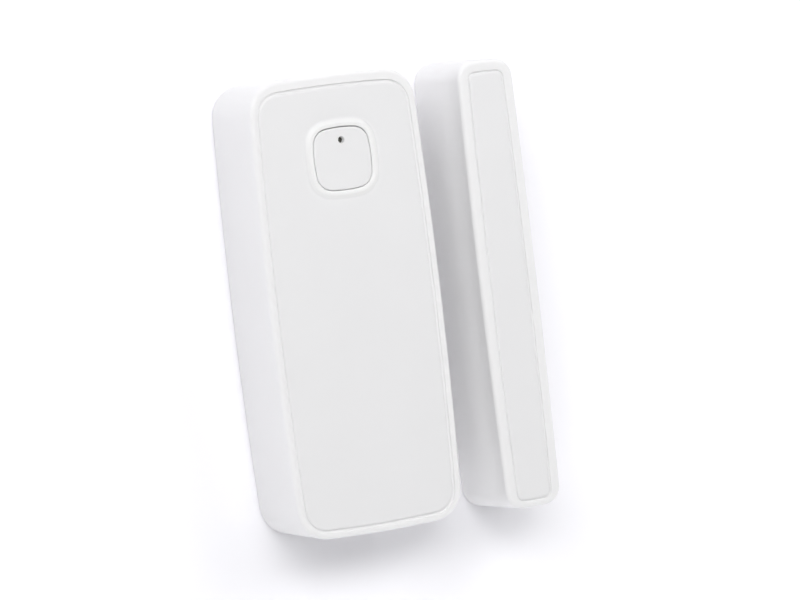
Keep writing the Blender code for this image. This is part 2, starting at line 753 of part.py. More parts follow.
def make_tamper_switch(black, plastic):
    """A switch body on the back of the board and the long plunger that slides in its bore."""
    body = block(
        "tamper_switch",
        (TAMPER_X - TAMPER_HALF, TAMPER_Y - TAMPER_HALF, TAMPER_BOTTOM),
        (TAMPER_X + TAMPER_HALF, TAMPER_Y + TAMPER_HALF, BOARD_BOTTOM - SOLDER_GAP),
        black,
        bevel=0.2 * MM,
    )
    bore_start = (TAMPER_X, TAMPER_Y, TAMPER_BOTTOM - PAST)
    bore = rod("tamper_bore", TAMPER_PLUNGER_RADIUS + 0.15 * MM, bore_start, TAMPER_BORE_TOP)
    cut(body, bore)
    profile = [
        (0.0, TAMPER_PLUNGER_TOP),
        (TAMPER_PLUNGER_RADIUS, TAMPER_PLUNGER_TOP),
        (TAMPER_PLUNGER_RADIUS, 0.5 * MM),
        (TAMPER_PLUNGER_RADIUS * 0.75, 0.0),
        (0.0, 0.0),
    ]
    turned("tamper_plunger", profile, plastic, (TAMPER_X, TAMPER_Y, 0.0), steps=SMALL_ROUND_STEPS)


# ---------------------------------------------------------------------------------------------------
# Sensor unit: cells, their holder and contacts


def make_battery_holder(black):
    """A tray that opens to the back, with a slot in its roof where the terminals reach the board."""
    half = HOLDER_HALF_WIDTH
    holder = block(
        "battery_holder", (-half, HOLDER_END_LOW, HOLDER_BOTTOM), (half, HOLDER_END_HIGH, HOLDER_TOP), black
    )
    bay = block(
        "cell_bay",
        (HOLDER_WALL - half, HOLDER_END_LOW + HOLDER_WALL, HOLDER_BOTTOM - PAST),
        (half - HOLDER_WALL, HOLDER_END_HIGH - HOLDER_WALL, HOLDER_TOP - HOLDER_ROOF),
    )
    slot = block(
        "terminal_slot",
        (-TERMINAL_SLOT_HALF, CONTACT_HIGH_Y - PLAY, HOLDER_TOP - PAST),
        (TERMINAL_SLOT_HALF, CONTACT_HIGH_Y + CONTACT_THICKNESS + PLAY, HOLDER_TOP + PAST),
    )
    cut(holder, bay, slot)
    for number, y in enumerate(FINGER_NOTCHES, 1):
        notch = block(
            f"finger_notch_{number}",
            (-half - PAST, y - FINGER_NOTCH_HALF, HOLDER_BOTTOM - PAST),
            (half + PAST, y + FINGER_NOTCH_HALF, FINGER_NOTCH_TOP),
        )
        cut(holder, notch)


def make_cells(jacket):
    """The left cell's nub points to +Y and the right one's to -Y."""
    profile = [
        (0.0, CELL_BODY_LENGTH + CELL_NUB_LENGTH),
        (CELL_NUB_RADIUS, CELL_BODY_LENGTH + CELL_NUB_LENGTH),
        (CELL_NUB_RADIUS, CELL_BODY_LENGTH),
        (CELL_RADIUS * 0.9, CELL_BODY_LENGTH),
        (CELL_RADIUS, CELL_BODY_LENGTH - 0.6 * MM),
        (CELL_RADIUS, 0.5 * MM),
        (CELL_RADIUS * 0.9, 0.0),
        (0.0, 0.0),
    ]
    length = CELL_BODY_LENGTH + CELL_NUB_LENGTH
    nub_clearance = 0.2 * MM
    left_start = CONTACT_HIGH_Y - nub_clearance - length
    right_start = CONTACT_LOW_Y + CONTACT_THICKNESS + nub_clearance + length
    turned("battery_cell_left", profile, jacket, (-CELL_X, left_start, CELL_Z), turn_to_y=1)
    turned("battery_cell_right", profile, jacket, (CELL_X, right_start, CELL_Z), turn_to_y=-1)


def spring_points(direction):
    """A conical coil that starts wide at its plate and closes in towards the cell."""
    count = SPRING_TURNS * COIL_STEPS
    points = []
    for step in range(count + 1):
        share = step / count
        radius = SPRING_WIDE_RADIUS + (SPRING_NARROW_RADIUS - SPRING_WIDE_RADIUS) * share
        angle = 2 * math.pi * step / COIL_STEPS
        along = direction * (SPRING_START + SPRING_REACH * share)
        points.append((radius * math.cos(angle), along, radius * math.sin(angle)))
    return points


def make_terminal(name, side, nickel):
    """A plate behind a cell's end with a tab up to the board, on the given side of the centre line."""
    near, far = sorted((side * TERMINAL_INNER_X, side * CONTACT_EDGE_X))
    plate = block(
        name,
        (near, CONTACT_HIGH_Y, CONTACT_BOTTOM),
        (far, CONTACT_HIGH_Y + CONTACT_THICKNESS, CONTACT_TOP),
        nickel,
    )
    inset = 0.05 * MM
    tab = block(
        f"tab_of_{name}",
        (side * CELL_X - TERMINAL_TAB_HALF, CONTACT_HIGH_Y + inset, CONTACT_TOP - PAST),
        (
            side * CELL_X + TERMINAL_TAB_HALF,
            CONTACT_HIGH_Y + CONTACT_THICKNESS - inset,
            BOARD_BOTTOM - SOLDER_GAP,
        ),
    )
    join(plate, tab)


def make_contacts(nickel):
    """Plates at both ends of the holder and a spring for each cell's flat end."""
    block(
        "battery_link_plate",
        (-CONTACT_EDGE_X, CONTACT_LOW_Y, CONTACT_BOTTOM),
        (CONTACT_EDGE_X, CONTACT_LOW_Y + CONTACT_THICKNESS, CONTACT_TOP),
        nickel,
    )
    make_terminal("battery_terminal_positive", -1, nickel)
    make_terminal("battery_terminal_negative", 1, nickel)
    left_place = (-CELL_X, CONTACT_LOW_Y + CONTACT_THICKNESS, CELL_Z)
    right_place = (CELL_X, CONTACT_HIGH_Y, CELL_Z)
    wire("battery_spring_left", spring_points(1), SPRING_WIRE_RADIUS, nickel, left_place)
    wire("battery_spring_right", spring_points(-1), SPRING_WIRE_RADIUS, nickel, right_place)


# ---------------------------------------------------------------------------------------------------
# Sensor unit: rear cover and pad


def wall_screw_holes(name, cover, places, cover_top, unit_x=0.0):
    """Countersunk holes through a rear cover."""
    sink_depth = 1.0 * MM
    for number, y in enumerate(places, 1):
        hole = rod(f"{name}_hole_{number}", WALL_SCREW_RADIUS, (unit_x, y, -PAST), cover_top + PAST, steps=24)
        sink = rod(
            f"{name}_sink_{number}",
            WALL_SCREW_RADIUS,
            (unit_x, y, cover_top - sink_depth),
            cover_top + sink_depth / 2,
            end_radius=WALL_SCREW_RADIUS + 1.5 * sink_depth,
            steps=24,
        )
        cut(cover, hole, sink)


def add_tongues(cover, name, centre, x, places, top):
    """Upright tongues on a rear cover, at x on both sides of its centre, that grip the housing's walls."""
    for side, side_name in ((-1, "left"), (1, "right")):
        for number, y in enumerate(places, 1):
            middle = centre[0] + side * x
            tongue = block(
                f"{name}_tongue_{side_name}_{number}",
                (middle - TONGUE_HALF_THICKNESS, centre[1] + y - TONGUE_HALF_WIDTH, TONGUE_BOTTOM),
                (middle + TONGUE_HALF_THICKNESS, centre[1] + y + TONGUE_HALF_WIDTH, top),
                bevel=0.3 * MM,
            )
            join(cover, tongue)


def make_rear_cover(plastic):
    """The plate that stays on the wall. Six tongues grip the housing, and a recess holds the pad."""
    outline = sensor_outline(SENSOR_WALL + PLAY)
    cover = slab("rear_cover", [outline], BACK_Z, SENSOR_COVER_TOP, plastic)
    tongue_places = (-SENSOR_TONGUE_Y, 0.0, SENSOR_TONGUE_Y)
    add_tongues(cover, "cover", (0.0, 0.0), SENSOR_TONGUE_X, tongue_places, SENSOR_TONGUE_TOP)
    recess_outline = rounded_rectangle(SENSOR_PAD_HALF_WIDTH + PLAY, SENSOR_PAD_HALF_LENGTH + PLAY, 2.0 * MM)
    recess_top = PAD_THICKNESS + 0.05 * MM
    recess = slab("sensor_pad_recess", [recess_outline], -PAST, recess_top, centre=(0.0, SENSOR_PAD_Y))
    tamper_start = (TAMPER_X, TAMPER_Y, -PAST)
    tamper_hole = rod("tamper_hole", TAMPER_HOLE_RADIUS, tamper_start, SENSOR_COVER_TOP + PAST, steps=24)
    cut(cover, recess, tamper_hole)
    wall_screw_holes("sensor", cover, SENSOR_WALL_SCREWS, SENSOR_COVER_TOP)


def make_adhesive_pad(foam):
    outline = rounded_rectangle(SENSOR_PAD_HALF_WIDTH, SENSOR_PAD_HALF_LENGTH, 1.8 * MM)
    slab("adhesive_pad", [outline], 0.0, PAD_THICKNESS, foam, centre=(0.0, SENSOR_PAD_Y))


# ---------------------------------------------------------------------------------------------------
# Magnet unit


def make_magnet_housing(plastic):
    """The slim shell with its drafted sides, and two ribs across its inside that locate the bar magnet."""
    centre = (MAGNET_X, MAGNET_Y)
    housing = slab(
        "magnet_housing",
        [magnet_outline(0.0)],
        BACK_Z,
        FRONT_Z,
        plastic,
        centre=centre,
        round_top=MAGNET_EDGE_RADIUS,
        steps=4,
    )
    spread(housing, MAGNET_DRAFT, MAGNET_DRAFT, FRONT_Z - BACK_Z)
    cavity = slab("magnet_cavity", [magnet_outline(MAGNET_WALL)], -PAST, WEB_BOTTOM, centre=centre)
    ledge = magnet_outline(MAGNET_SIDE_RIM, MAGNET_END_RIM)
    groove = slab("magnet_ledge_cut", [ledge], LEDGE_Z, FRONT_Z + PAST, centre=centre)
    deep = magnet_outline(MAGNET_SIDE_RIM + LEDGE_WIDTH, MAGNET_END_RIM + LEDGE_WIDTH)
    pocket = slab("magnet_pocket_cut", [deep], WEB_TOP, FRONT_Z + PAST, centre=centre)
    cut(housing, cavity, groove, pocket)
    half_width = MAGNET_HALF_WIDTH - MAGNET_WALL + POST_OVERLAP
    for side, name in ((-1, "magnet_rib_lower"), (1, "magnet_rib_upper")):
        y = MAGNET_Y + side * BAR_RIB_Y
        rib = block(
            name,
            (MAGNET_X - half_width, y - RIB_HALF_THICKNESS, BAR_BOTTOM),
            (MAGNET_X + half_width, y + RIB_HALF_THICKNESS, WEB_BOTTOM + POST_OVERLAP),
        )
        join(housing, rib)


def make_magnet_panel(plastic):
    centre = (MAGNET_X, MAGNET_Y)
    side = MAGNET_SIDE_RIM + MAGNET_GROOVE
    end = MAGNET_END_RIM + MAGNET_GROOVE
    panel = slab("magnet_panel", [magnet_outline(side, end)], LIP_BOTTOM, FRONT_Z, plastic, centre=centre)
    plate_outline = magnet_outline(side + LIP_WIDTH + PLAY, end + LIP_WIDTH + PLAY)
    plate = slab("magnet_plate", [plate_outline], PANEL_BOTTOM, LIP_BOTTOM + LIP_OVERLAP, centre=centre)
    join(panel, plate)


def make_bar_magnet(ferrite, foam):
    """The magnet lies under the web, pressed there by a foam strip on the rear cover's ribs."""
    block(
        "bar_magnet",
        (MAGNET_X - BAR_HALF_WIDTH, MAGNET_Y - BAR_HALF_LENGTH, BAR_BOTTOM),
        (MAGNET_X + BAR_HALF_WIDTH, MAGNET_Y + BAR_HALF_LENGTH, BAR_TOP),
        ferrite,
        bevel=0.25 * MM,
    )
    block(
        "magnet_foam",
        (MAGNET_X - FOAM_HALF_WIDTH, MAGNET_Y - FOAM_HALF_LENGTH, FOAM_BOTTOM),
        (MAGNET_X + FOAM_HALF_WIDTH, MAGNET_Y + FOAM_HALF_LENGTH, BAR_BOTTOM - 0.1 * MM),
        foam,
        bevel=0.1 * MM,
    )


def make_magnet_rear_cover(plastic):
    """The magnet's rear plate, with two ribs under the foam strip and four tongues."""
    centre = (MAGNET_X, MAGNET_Y)
    outline = magnet_outline(MAGNET_WALL + PLAY)
    cover = slab("magnet_rear_cover", [outline], BACK_Z, MAGNET_COVER_TOP, plastic, centre=centre)
    for side, name in ((-1, "left"), (1, "right")):
        rib_x = MAGNET_X + side * FOAM_RIB_X
        rib = block(
            f"foam_rib_{name}",
            (rib_x - RIB_HALF_THICKNESS, MAGNET_Y - FOAM_HALF_LENGTH, TONGUE_BOTTOM),
            (rib_x + RIB_HALF_THICKNESS, MAGNET_Y + FOAM_HALF_LENGTH, FOAM_RIB_TOP),
        )
        join(cover, rib)
    tongue_places = (-MAGNET_TONGUE_Y, MAGNET_TONGUE_Y)
    add_tongues(cover, "magnet", centre, MAGNET_TONGUE_X, tongue_places, MAGNET_TONGUE_TOP)
    recess_outline = rounded_rectangle(MAGNET_PAD_HALF_WIDTH + PLAY, MAGNET_PAD_HALF_LENGTH + PLAY, 1.2 * MM)
    recess_top = PAD_THICKNESS + 0.05 * MM
    recess = slab("magnet_pad_recess", [recess_outline], -PAST, recess_top, centre=centre)
    cut(cover, recess)
    wall_screw_holes("magnet", cover, MAGNET_WALL_SCREWS, MAGNET_COVER_TOP, MAGNET_X)


def make_magnet_adhesive_pad(foam):
    outline = rounded_rectangle(MAGNET_PAD_HALF_WIDTH, MAGNET_PAD_HALF_LENGTH, 1.0 * MM)
    slab("magnet_adhesive_pad", [outline], 0.0, PAD_THICKNESS, foam, centre=(MAGNET_X, MAGNET_Y))


# ---------------------------------------------------------------------------------------------------
# The whole object

clear_scene()
PARTS = new_collection("door_contact_sensor")
HELPERS = new_collection("cutters")

white_plastic = new_material("white_plastic", (0.86, 0.86, 0.87), 0.42)
cover_plastic = new_material("cover_plastic", (0.83, 0.83, 0.83), 0.5)
clear_plastic = new_material("clear_plastic", (0.9, 0.88, 0.82), 0.1)
black_plastic = new_material("black_plastic", (0.03, 0.03, 0.03), 0.5)
laminate = new_material("board_laminate", (0.02, 0.16, 0.06), 0.35)
reed_glass = new_material("reed_glass", (0.7, 0.82, 0.7), 0.05)
nickel = new_material("nickel", (0.7, 0.68, 0.63), 0.3, 1.0)
steel = new_material("steel", (0.6, 0.6, 0.62), 0.35, 1.0)
copper = new_material("copper", (0.75, 0.38, 0.22), 0.3, 1.0)
aluminium = new_material("aluminium", (0.75, 0.76, 0.78), 0.3, 1.0)
cell_jacket = new_material("cell_jacket", (0.12, 0.13, 0.15), 0.35)
ferrite = new_material("ferrite", (0.09, 0.09, 0.1), 0.6)
pad_foam = new_material("pad_foam", (0.8, 0.8, 0.78), 0.9)

make_front_housing(white_plastic)
make_front_panel(white_plastic)
make_button(white_plastic, clear_plastic)
make_circuit_board(laminate)
make_board_screws(steel)
make_button_switch(black_plastic, steel)
make_status_led(clear_plastic)
make_microcontroller(black_plastic)
make_reed_switch(reed_glass, nickel)
make_radio_module(nickel)
make_capacitor(aluminium)
make_antenna(copper)
make_tamper_switch(black_plastic, cover_plastic)
make_battery_holder(black_plastic)
make_cells(cell_jacket)
make_contacts(nickel)
make_rear_cover(cover_plastic)
make_adhesive_pad(pad_foam)
make_magnet_housing(white_plastic)
make_magnet_panel(white_plastic)
make_bar_magnet(ferrite, pad_foam)
make_magnet_rear_cover(cover_plastic)
make_magnet_adhesive_pad(pad_foam)
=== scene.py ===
"""Looks of the door contact sensor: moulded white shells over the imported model, on a plain pale floor.

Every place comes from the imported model's boxes. Heights and insets that a box can't give are named below.
"""

import json
import math

import bmesh
import bpy
from mathutils import Matrix, Vector


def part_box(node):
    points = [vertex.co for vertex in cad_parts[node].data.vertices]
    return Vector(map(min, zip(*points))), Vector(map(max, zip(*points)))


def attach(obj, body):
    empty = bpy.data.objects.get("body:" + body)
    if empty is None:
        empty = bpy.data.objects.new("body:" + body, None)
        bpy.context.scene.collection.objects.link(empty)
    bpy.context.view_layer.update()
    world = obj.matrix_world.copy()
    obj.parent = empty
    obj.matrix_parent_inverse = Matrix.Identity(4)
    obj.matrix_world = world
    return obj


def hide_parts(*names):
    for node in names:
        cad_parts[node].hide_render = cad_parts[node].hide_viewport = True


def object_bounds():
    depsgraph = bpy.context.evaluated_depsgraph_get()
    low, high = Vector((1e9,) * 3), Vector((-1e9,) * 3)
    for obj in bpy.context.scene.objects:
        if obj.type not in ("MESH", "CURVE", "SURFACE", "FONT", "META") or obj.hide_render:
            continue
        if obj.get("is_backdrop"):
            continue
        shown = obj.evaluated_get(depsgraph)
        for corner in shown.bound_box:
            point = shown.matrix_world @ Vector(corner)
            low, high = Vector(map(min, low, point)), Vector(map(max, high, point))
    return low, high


MM = 0.001
MAP_RANGE_INPUTS = ("From Min", "From Max", "To Min", "To Max")

# Bowed outlines of the two units
SENSOR_SIDE_RADIUS = 1040 * MM
SENSOR_END_RADIUS = 230 * MM
SENSOR_CORNER_RADIUS = 6.3 * MM
MAGNET_SIDE_RADIUS = 2300 * MM
MAGNET_END_RADIUS = 40 * MM
MAGNET_CORNER_RADIUS = 3.6 * MM
MAGNET_DRAFT = 0.5 * MM
BUTTON_SIDE_RADIUS = 26 * MM
BUTTON_CORNER_RADIUS = 3.0 * MM
SIDE_STEPS = 14
CORNER_STEPS = 14
END_STEPS = 8

# Shells and panels
SENSOR_WALL = 1.6 * MM
MAGNET_WALL = 1.3 * MM
SENSOR_EDGE_RADIUS = 0.8 * MM
MAGNET_EDGE_RADIUS = 0.8 * MM
BACK_EDGE_RADIUS = 0.25 * MM
WEB_THICKNESS = 0.9 * MM
WEB_DEPTH = 1.3 * MM
GROOVE_DEPTH = 0.34 * MM
LEDGE_WIDTH = 0.85 * MM
LIP_DEPTH = 0.3 * MM
LIP_WIDTH = 0.6 * MM
PANEL_DEPTH = 1.0 * MM
SENSOR_GROOVE = 0.46 * MM
MAGNET_GROOVE = 0.32 * MM
INNER_FILLET = 0.3 * MM
MOUTH_LEAD_IN = 0.5 * MM

# Posts that the board's screws go into
POST_RADIUS = 1.9 * MM
POST_GAP = 0.2 * MM
POST_BORE_RADIUS = 0.8 * MM
POST_BORE_DEPTH = 2.6 * MM

# How far a cut starts outside the piece that it cuts
CUT_PAST = 1.0 * MM

# (step, drop) pairs across the soft edges of a groove: down from the rim, and up over the panel's shoulder
RIM_EDGE = ((-0.14, 0), (-0.06, -0.02), (-0.01, -0.07), (0.03, -0.15), (0.05, -0.34))
PANEL_EDGE = ((0, -0.3), (0.03, -0.19), (0.1, -0.12), (0.24, -0.055), (0.4, -0.014), (0.6, 0))
SENSOR_GROOVE_SHIFT = Vector((-0.15, -0.4, 0)) * MM
MAGNET_GROOVE_SHIFT = Vector((-0.02, -0.45, 0)) * MM

# Button and the ring round it
FLANGE_OVERHANG = 0.9 * MM
FLANGE_THICKNESS = 0.7 * MM
FLANGE_CHAMFER = 0.1 * MM
BUTTON_GAP = 0.18 * MM
BUTTON_REACH = 0.2 * MM
CAP_SIDE_GROWTH = 0.07 * MM
CAP_END_GROWTH = 0.05 * MM
CAP_SHIFT = Vector((0.05, -0.05, 0)) * MM
BUTTON_WALL = 1.2 * MM
BUTTON_CROWN = 1.25 * MM
BUTTON_EDGE_RADIUS = 0.28 * MM
BUTTON_DISH = 0.16 * MM
BEZEL_WIDTH = 1.8 * MM
BEZEL_CREST = 0.65 * MM
BEZEL_INNER_DROP = 0.22 * MM
LIGHT_HOLE_RADIUS = 0.64 * MM
LIGHT_HOLE_SHIFT = Vector((0.18, -0.15, 0)) * MM
COUNTERSINK_NARROWING = 0.05 * MM
COUNTERSINK_SPREAD = 0.14 * MM
COUNTERSINK_DEPTH = 0.17 * MM
COUNTERSINK_RISE = 0.1 * MM
HOLE_DISH_SHARE = 0.6

# Under the button: the stem over the switch, and the socket that holds the light pipe
STEM_RADIUS = 1.2 * MM
STEM_GAP = 0.1 * MM
SOCKET_RADIUS = 1.7 * MM
SOCKET_START = 1.4 * MM
PIPE_BORE_RADIUS = 1.05 * MM
ROOT_DEPTH = 0.2 * MM

# Camera, from the photograph's perspective
CAMERA_AZIMUTH = math.radians(-98.7)
CAMERA_ELEVATION = math.radians(65.4)
CAMERA_ROLL = math.radians(7.46)
CAMERA_DISTANCE = 806 * MM
CAMERA_TARGET = Vector((9.15 * MM, -0.55 * MM))
LENS = 185.2
SENSOR_SIZE = 36.0
CLIP_START = 0.01
CLIP_END = 10

# Whites of the two mouldings and of the covers behind them, and the painted highlight on the raised ring
# round the button
SHELL_WHITE = (0.868, 0.865, 0.871)
PANEL_WHITE = (0.82, 0.818, 0.826)
# Painted highlight: the raised ring round the button is painted this lighter colour from a little above the
# housing's top, fading in over a short rise
RING_PAINTED_HIGHLIGHT = (0.868, 0.868, 0.868)
RING_HIGHLIGHT_START = 0.06 * MM
RING_HIGHLIGHT_FADE = 0.16 * MM
COVER_WHITE = (0.85, 0.85, 0.845)

# Cells: bare metal at the positive end, the band's far side and the bare metal at the foot
CELL_BARE_END = 1.6 * MM
CELL_BAND_END = 8.5 * MM
CELL_BARE_FOOT = 0.7 * MM

# Foam pads
PAD_CORNER_RADIUS = 1.5 * MM
PAD_BOW = 4000 * MM
PAD_SOFTNESS = 0.16
PAD_WAIST = 0.05 * MM
FOAM_CELL = 0.28 * MM

# Small parts on the board
PASSIVE_SIZE = Vector((0.8, 1.6, 0.5)) * MM
PASSIVE_END = 0.3 * MM
PASSIVE_PITCH = 1.9 * MM
PASSIVE_DISTANCE = 2.0 * MM
PASSIVES_IN_ROW = 4
PASSIVE_WIDTH_SHARE = 0.94
PASSIVE_HEIGHT_SHARE = 0.9
BACK_ROW_SPREAD = 1.6
CHIP_PADS = 8
CHIP_PAD_SIZE = Vector((0.3, 0.5, 0.12)) * MM
CHIP_PAD_OUT = 0.3
PASSIVE_BODY_SOFTNESS = 0.05 * MM
PASSIVE_END_SOFTNESS = 0.06 * MM
CHIP_PAD_SOFTNESS = 0.03 * MM

# Softened edges of the carried-over pieces
SOFT_EDGE = 0.08 * MM
SOFT_EDGE_ANGLE = 50
SMOOTH_ANGLE = 40
SOFT_EDGED = (
    "rear_cover",
    "magnet_rear_cover",
    "battery_holder",
    "button_switch",
    "tamper_switch",
    "microcontroller",
    "radio_module",
    "bar_magnet",
)

# Stage
FLOOR_COLOUR = (0.97, 0.965, 1.0)
FLOOR_GLOW_NEAR = 0.045
FLOOR_GLOW_RANGE = (0.05, 0.5)
HORIZON_RANGE = (0.08, 0.12)
HORIZON_STRENGTH = 1.0
DOME_STRENGTH = 0.0
FLOOR_HALF_SIZE = 3
FLOOR_GAP = 0.02 * MM

# Soft boxes: azimuth from +X towards +Y and elevation in degrees, side in metres, power in watts
LIGHT_DISTANCE = 1.0
SOFT_BOXES = (
    ("key_back", 90, 65, 0.3, 1.8),
    ("key_left", 120, 65, 0.3, 1.6),
    ("back_left", 135, 45, 0.6, 4.1),
    ("back_right", 45, 45, 0.6, 2.9),
    ("front_left", 225, 45, 0.6, 1.9),
    ("front_right", 315, 20, 0.6, 1.7),
    ("front", 270, 14, 0.3, 2.0),
    ("right", 0, 20, 0.6, 0.9),
)


# ---------------------------------------------------------------------------------------------------
# Outlines and surfaces


def arc(centre, radius, start, stop, steps):
    """Points on an arc, from its start up to but not including its stop."""
    turn = (stop - start) / steps
    angles = [start + turn * step for step in range(steps)]
    return [centre + Vector((math.cos(angle), math.sin(angle))) * radius for angle in angles]


def bowed_outline(half_width, half_length, side_radius, end_radius, corner_radius):
    """A rounded rectangle whose four sides bow outwards, all its arcs tangent to each other."""
    side_centre = Vector((half_width - side_radius, 0))
    end_centre = Vector((0, half_length - end_radius))
    apart = end_centre - side_centre
    from_side = side_radius - corner_radius
    from_end = end_radius - corner_radius
    along = (from_side**2 - from_end**2 + apart.length_squared) / (2 * apart.length)
    across = math.sqrt(from_side**2 - along**2)
    direction = apart.normalized()
    corner = side_centre + direction * along + Vector((-direction.y, direction.x)) * across
    to_corner = math.atan2(corner.y - side_centre.y, corner.x - side_centre.x)
    from_corner = math.atan2(corner.y - end_centre.y, corner.x - end_centre.x)
    quarter = arc(side_centre, side_radius, 0, to_corner, SIDE_STEPS)
    quarter += arc(corner, corner_radius, to_corner, from_corner, CORNER_STEPS)
    quarter += arc(end_centre, end_radius, from_corner, math.pi / 2, END_STEPS)
    quarter.append(Vector((0, half_length)))
    inner = quarter[1:-1]
    outline = list(quarter)
    outline += [Vector((-point.x, point.y)) for point in reversed(inner)]
    outline += [-point for point in quarter]
    outline += [Vector((point.x, -point.y)) for point in reversed(inner)]
    return outline


class Outline:
    """A bowed outline round a centre, which can be drawn at any inset and height."""

    def __init__(self, low, high, side_radius, end_radius, corner_radius):
        self.centre = ((low + high) / 2).xy
        self.half_width = (high.x - low.x) / 2
        self.half_length = (high.y - low.y) / 2
        self.radii = (side_radius, end_radius, corner_radius)

    def ring(self, inset, height, end_inset=None):
        end_inset = inset if end_inset is None else end_inset
        side_radius, end_radius, corner_radius = self.radii
        points = bowed_outline(
            self.half_width - inset,
            self.half_length - end_inset,
            side_radius - inset,
            end_radius - end_inset,
            corner_radius - inset,
        )
        return [Vector((*(self.centre + point), height)) for point in points]


class Surface:
    """A closed surface built from rings of points."""

    def __init__(self):
        self.shape = bmesh.new()

    def loop(self, ring):
        return [self.shape.verts.new(point) for point in ring]

    def skin(self, rings, near):
        """Quads from a loop through each ring in turn. Returns the last ring's loop."""
        for ring in rings:
            far = self.loop(ring)
            self.stitch(near, far)
            near = far
        return near

    def stitch(self, near, far):
        """Quads between two loops."""
        for index in range(len(far)):
            self.shape.faces.new((near[index - 1], near[index], far[index], far[index - 1]))

    def fill(self, *loops):
        """A flat face with holes, between loops that lie in one plane."""
        edges = []
        for loop in loops:
            for index in range(len(loop)):
                edge = self.shape.edges.get((loop[index - 1], loop[index]))
                edges.append(edge or self.shape.edges.new((loop[index - 1], loop[index])))
        bmesh.ops.triangle_fill(self.shape, edges=edges, use_beauty=True, use_dissolve=False)

    def piece(self, name):
        bmesh.ops.remove_doubles(self.shape, verts=self.shape.verts, dist=1e-7)
        bmesh.ops.recalc_face_normals(self.shape, faces=self.shape.faces)
        mesh = bpy.data.meshes.new(name)
        self.shape.to_mesh(mesh)
        self.shape.free()
        return add_object(name, mesh)


def add_object(name, mesh):
    piece = bpy.data.objects.new(name, mesh)
    bpy.context.scene.collection.objects.link(piece)
    return piece


def rounded(inset_at, z_at, inset_to, z_to, steps, outwards=True):
    """(inset, z) pairs of a quarter ellipse between two points. outwards bulges to the smaller inset."""
    pairs = []
    for step in range(steps + 1):
        angle = math.pi / 2 * step / steps
        first = 1 - math.cos(angle)
        second = math.sin(angle)
        if not outwards:
            first, second = second, first
        pairs.append((inset_at + (inset_to - inset_at) * first, z_at + (z_to - z_at) * second))
    return pairs


def shade(piece):
    """Smooth shading that keeps real corners and lets the large faces set the normals."""
    piece.data.shade_smooth()
    piece.data.set_sharp_from_angle(angle=math.radians(SMOOTH_ANGLE))
    weighted = piece.modifiers.new("normals", "WEIGHTED_NORMAL")
    weighted.keep_sharp = True
    weighted.weight = 100


def baked(piece):
    """Takes what the piece's modifiers make as its own mesh."""
    graph = bpy.context.evaluated_depsgraph_get()
    made = bpy.data.meshes.new_from_object(piece.evaluated_get(graph))
    piece.modifiers.clear()
    piece.data = made


def combine(piece, other, operation):
    """A Boolean with the other object, which is used up."""
    boolean = piece.modifiers.new("shape", "BOOLEAN")
    boolean.operation = operation
    boolean.solver = "EXACT"
    boolean.object = other
    baked(piece)
    bpy.data.objects.remove(other, do_unlink=True)


def rod(radius, start, stop, end_radius=None, steps=48):
    """A straight round rod or cone between two points."""
    axis = stop - start
    turn = axis.to_track_quat("Z", "Y").to_matrix().to_4x4()
    place = Matrix.Translation((start + stop) / 2) @ turn
    shape = bmesh.new()
    far_radius = radius if end_radius is None else end_radius
    bmesh.ops.create_cone(
        shape,
        cap_ends=True,
        segments=steps,
        radius1=radius,
        radius2=far_radius,
        depth=axis.length,
        matrix=place,
    )
    mesh = bpy.data.meshes.new("rod")
    shape.to_mesh(mesh)
    shape.free()
    return add_object("rod", mesh)


# ---------------------------------------------------------------------------------------------------
# Materials


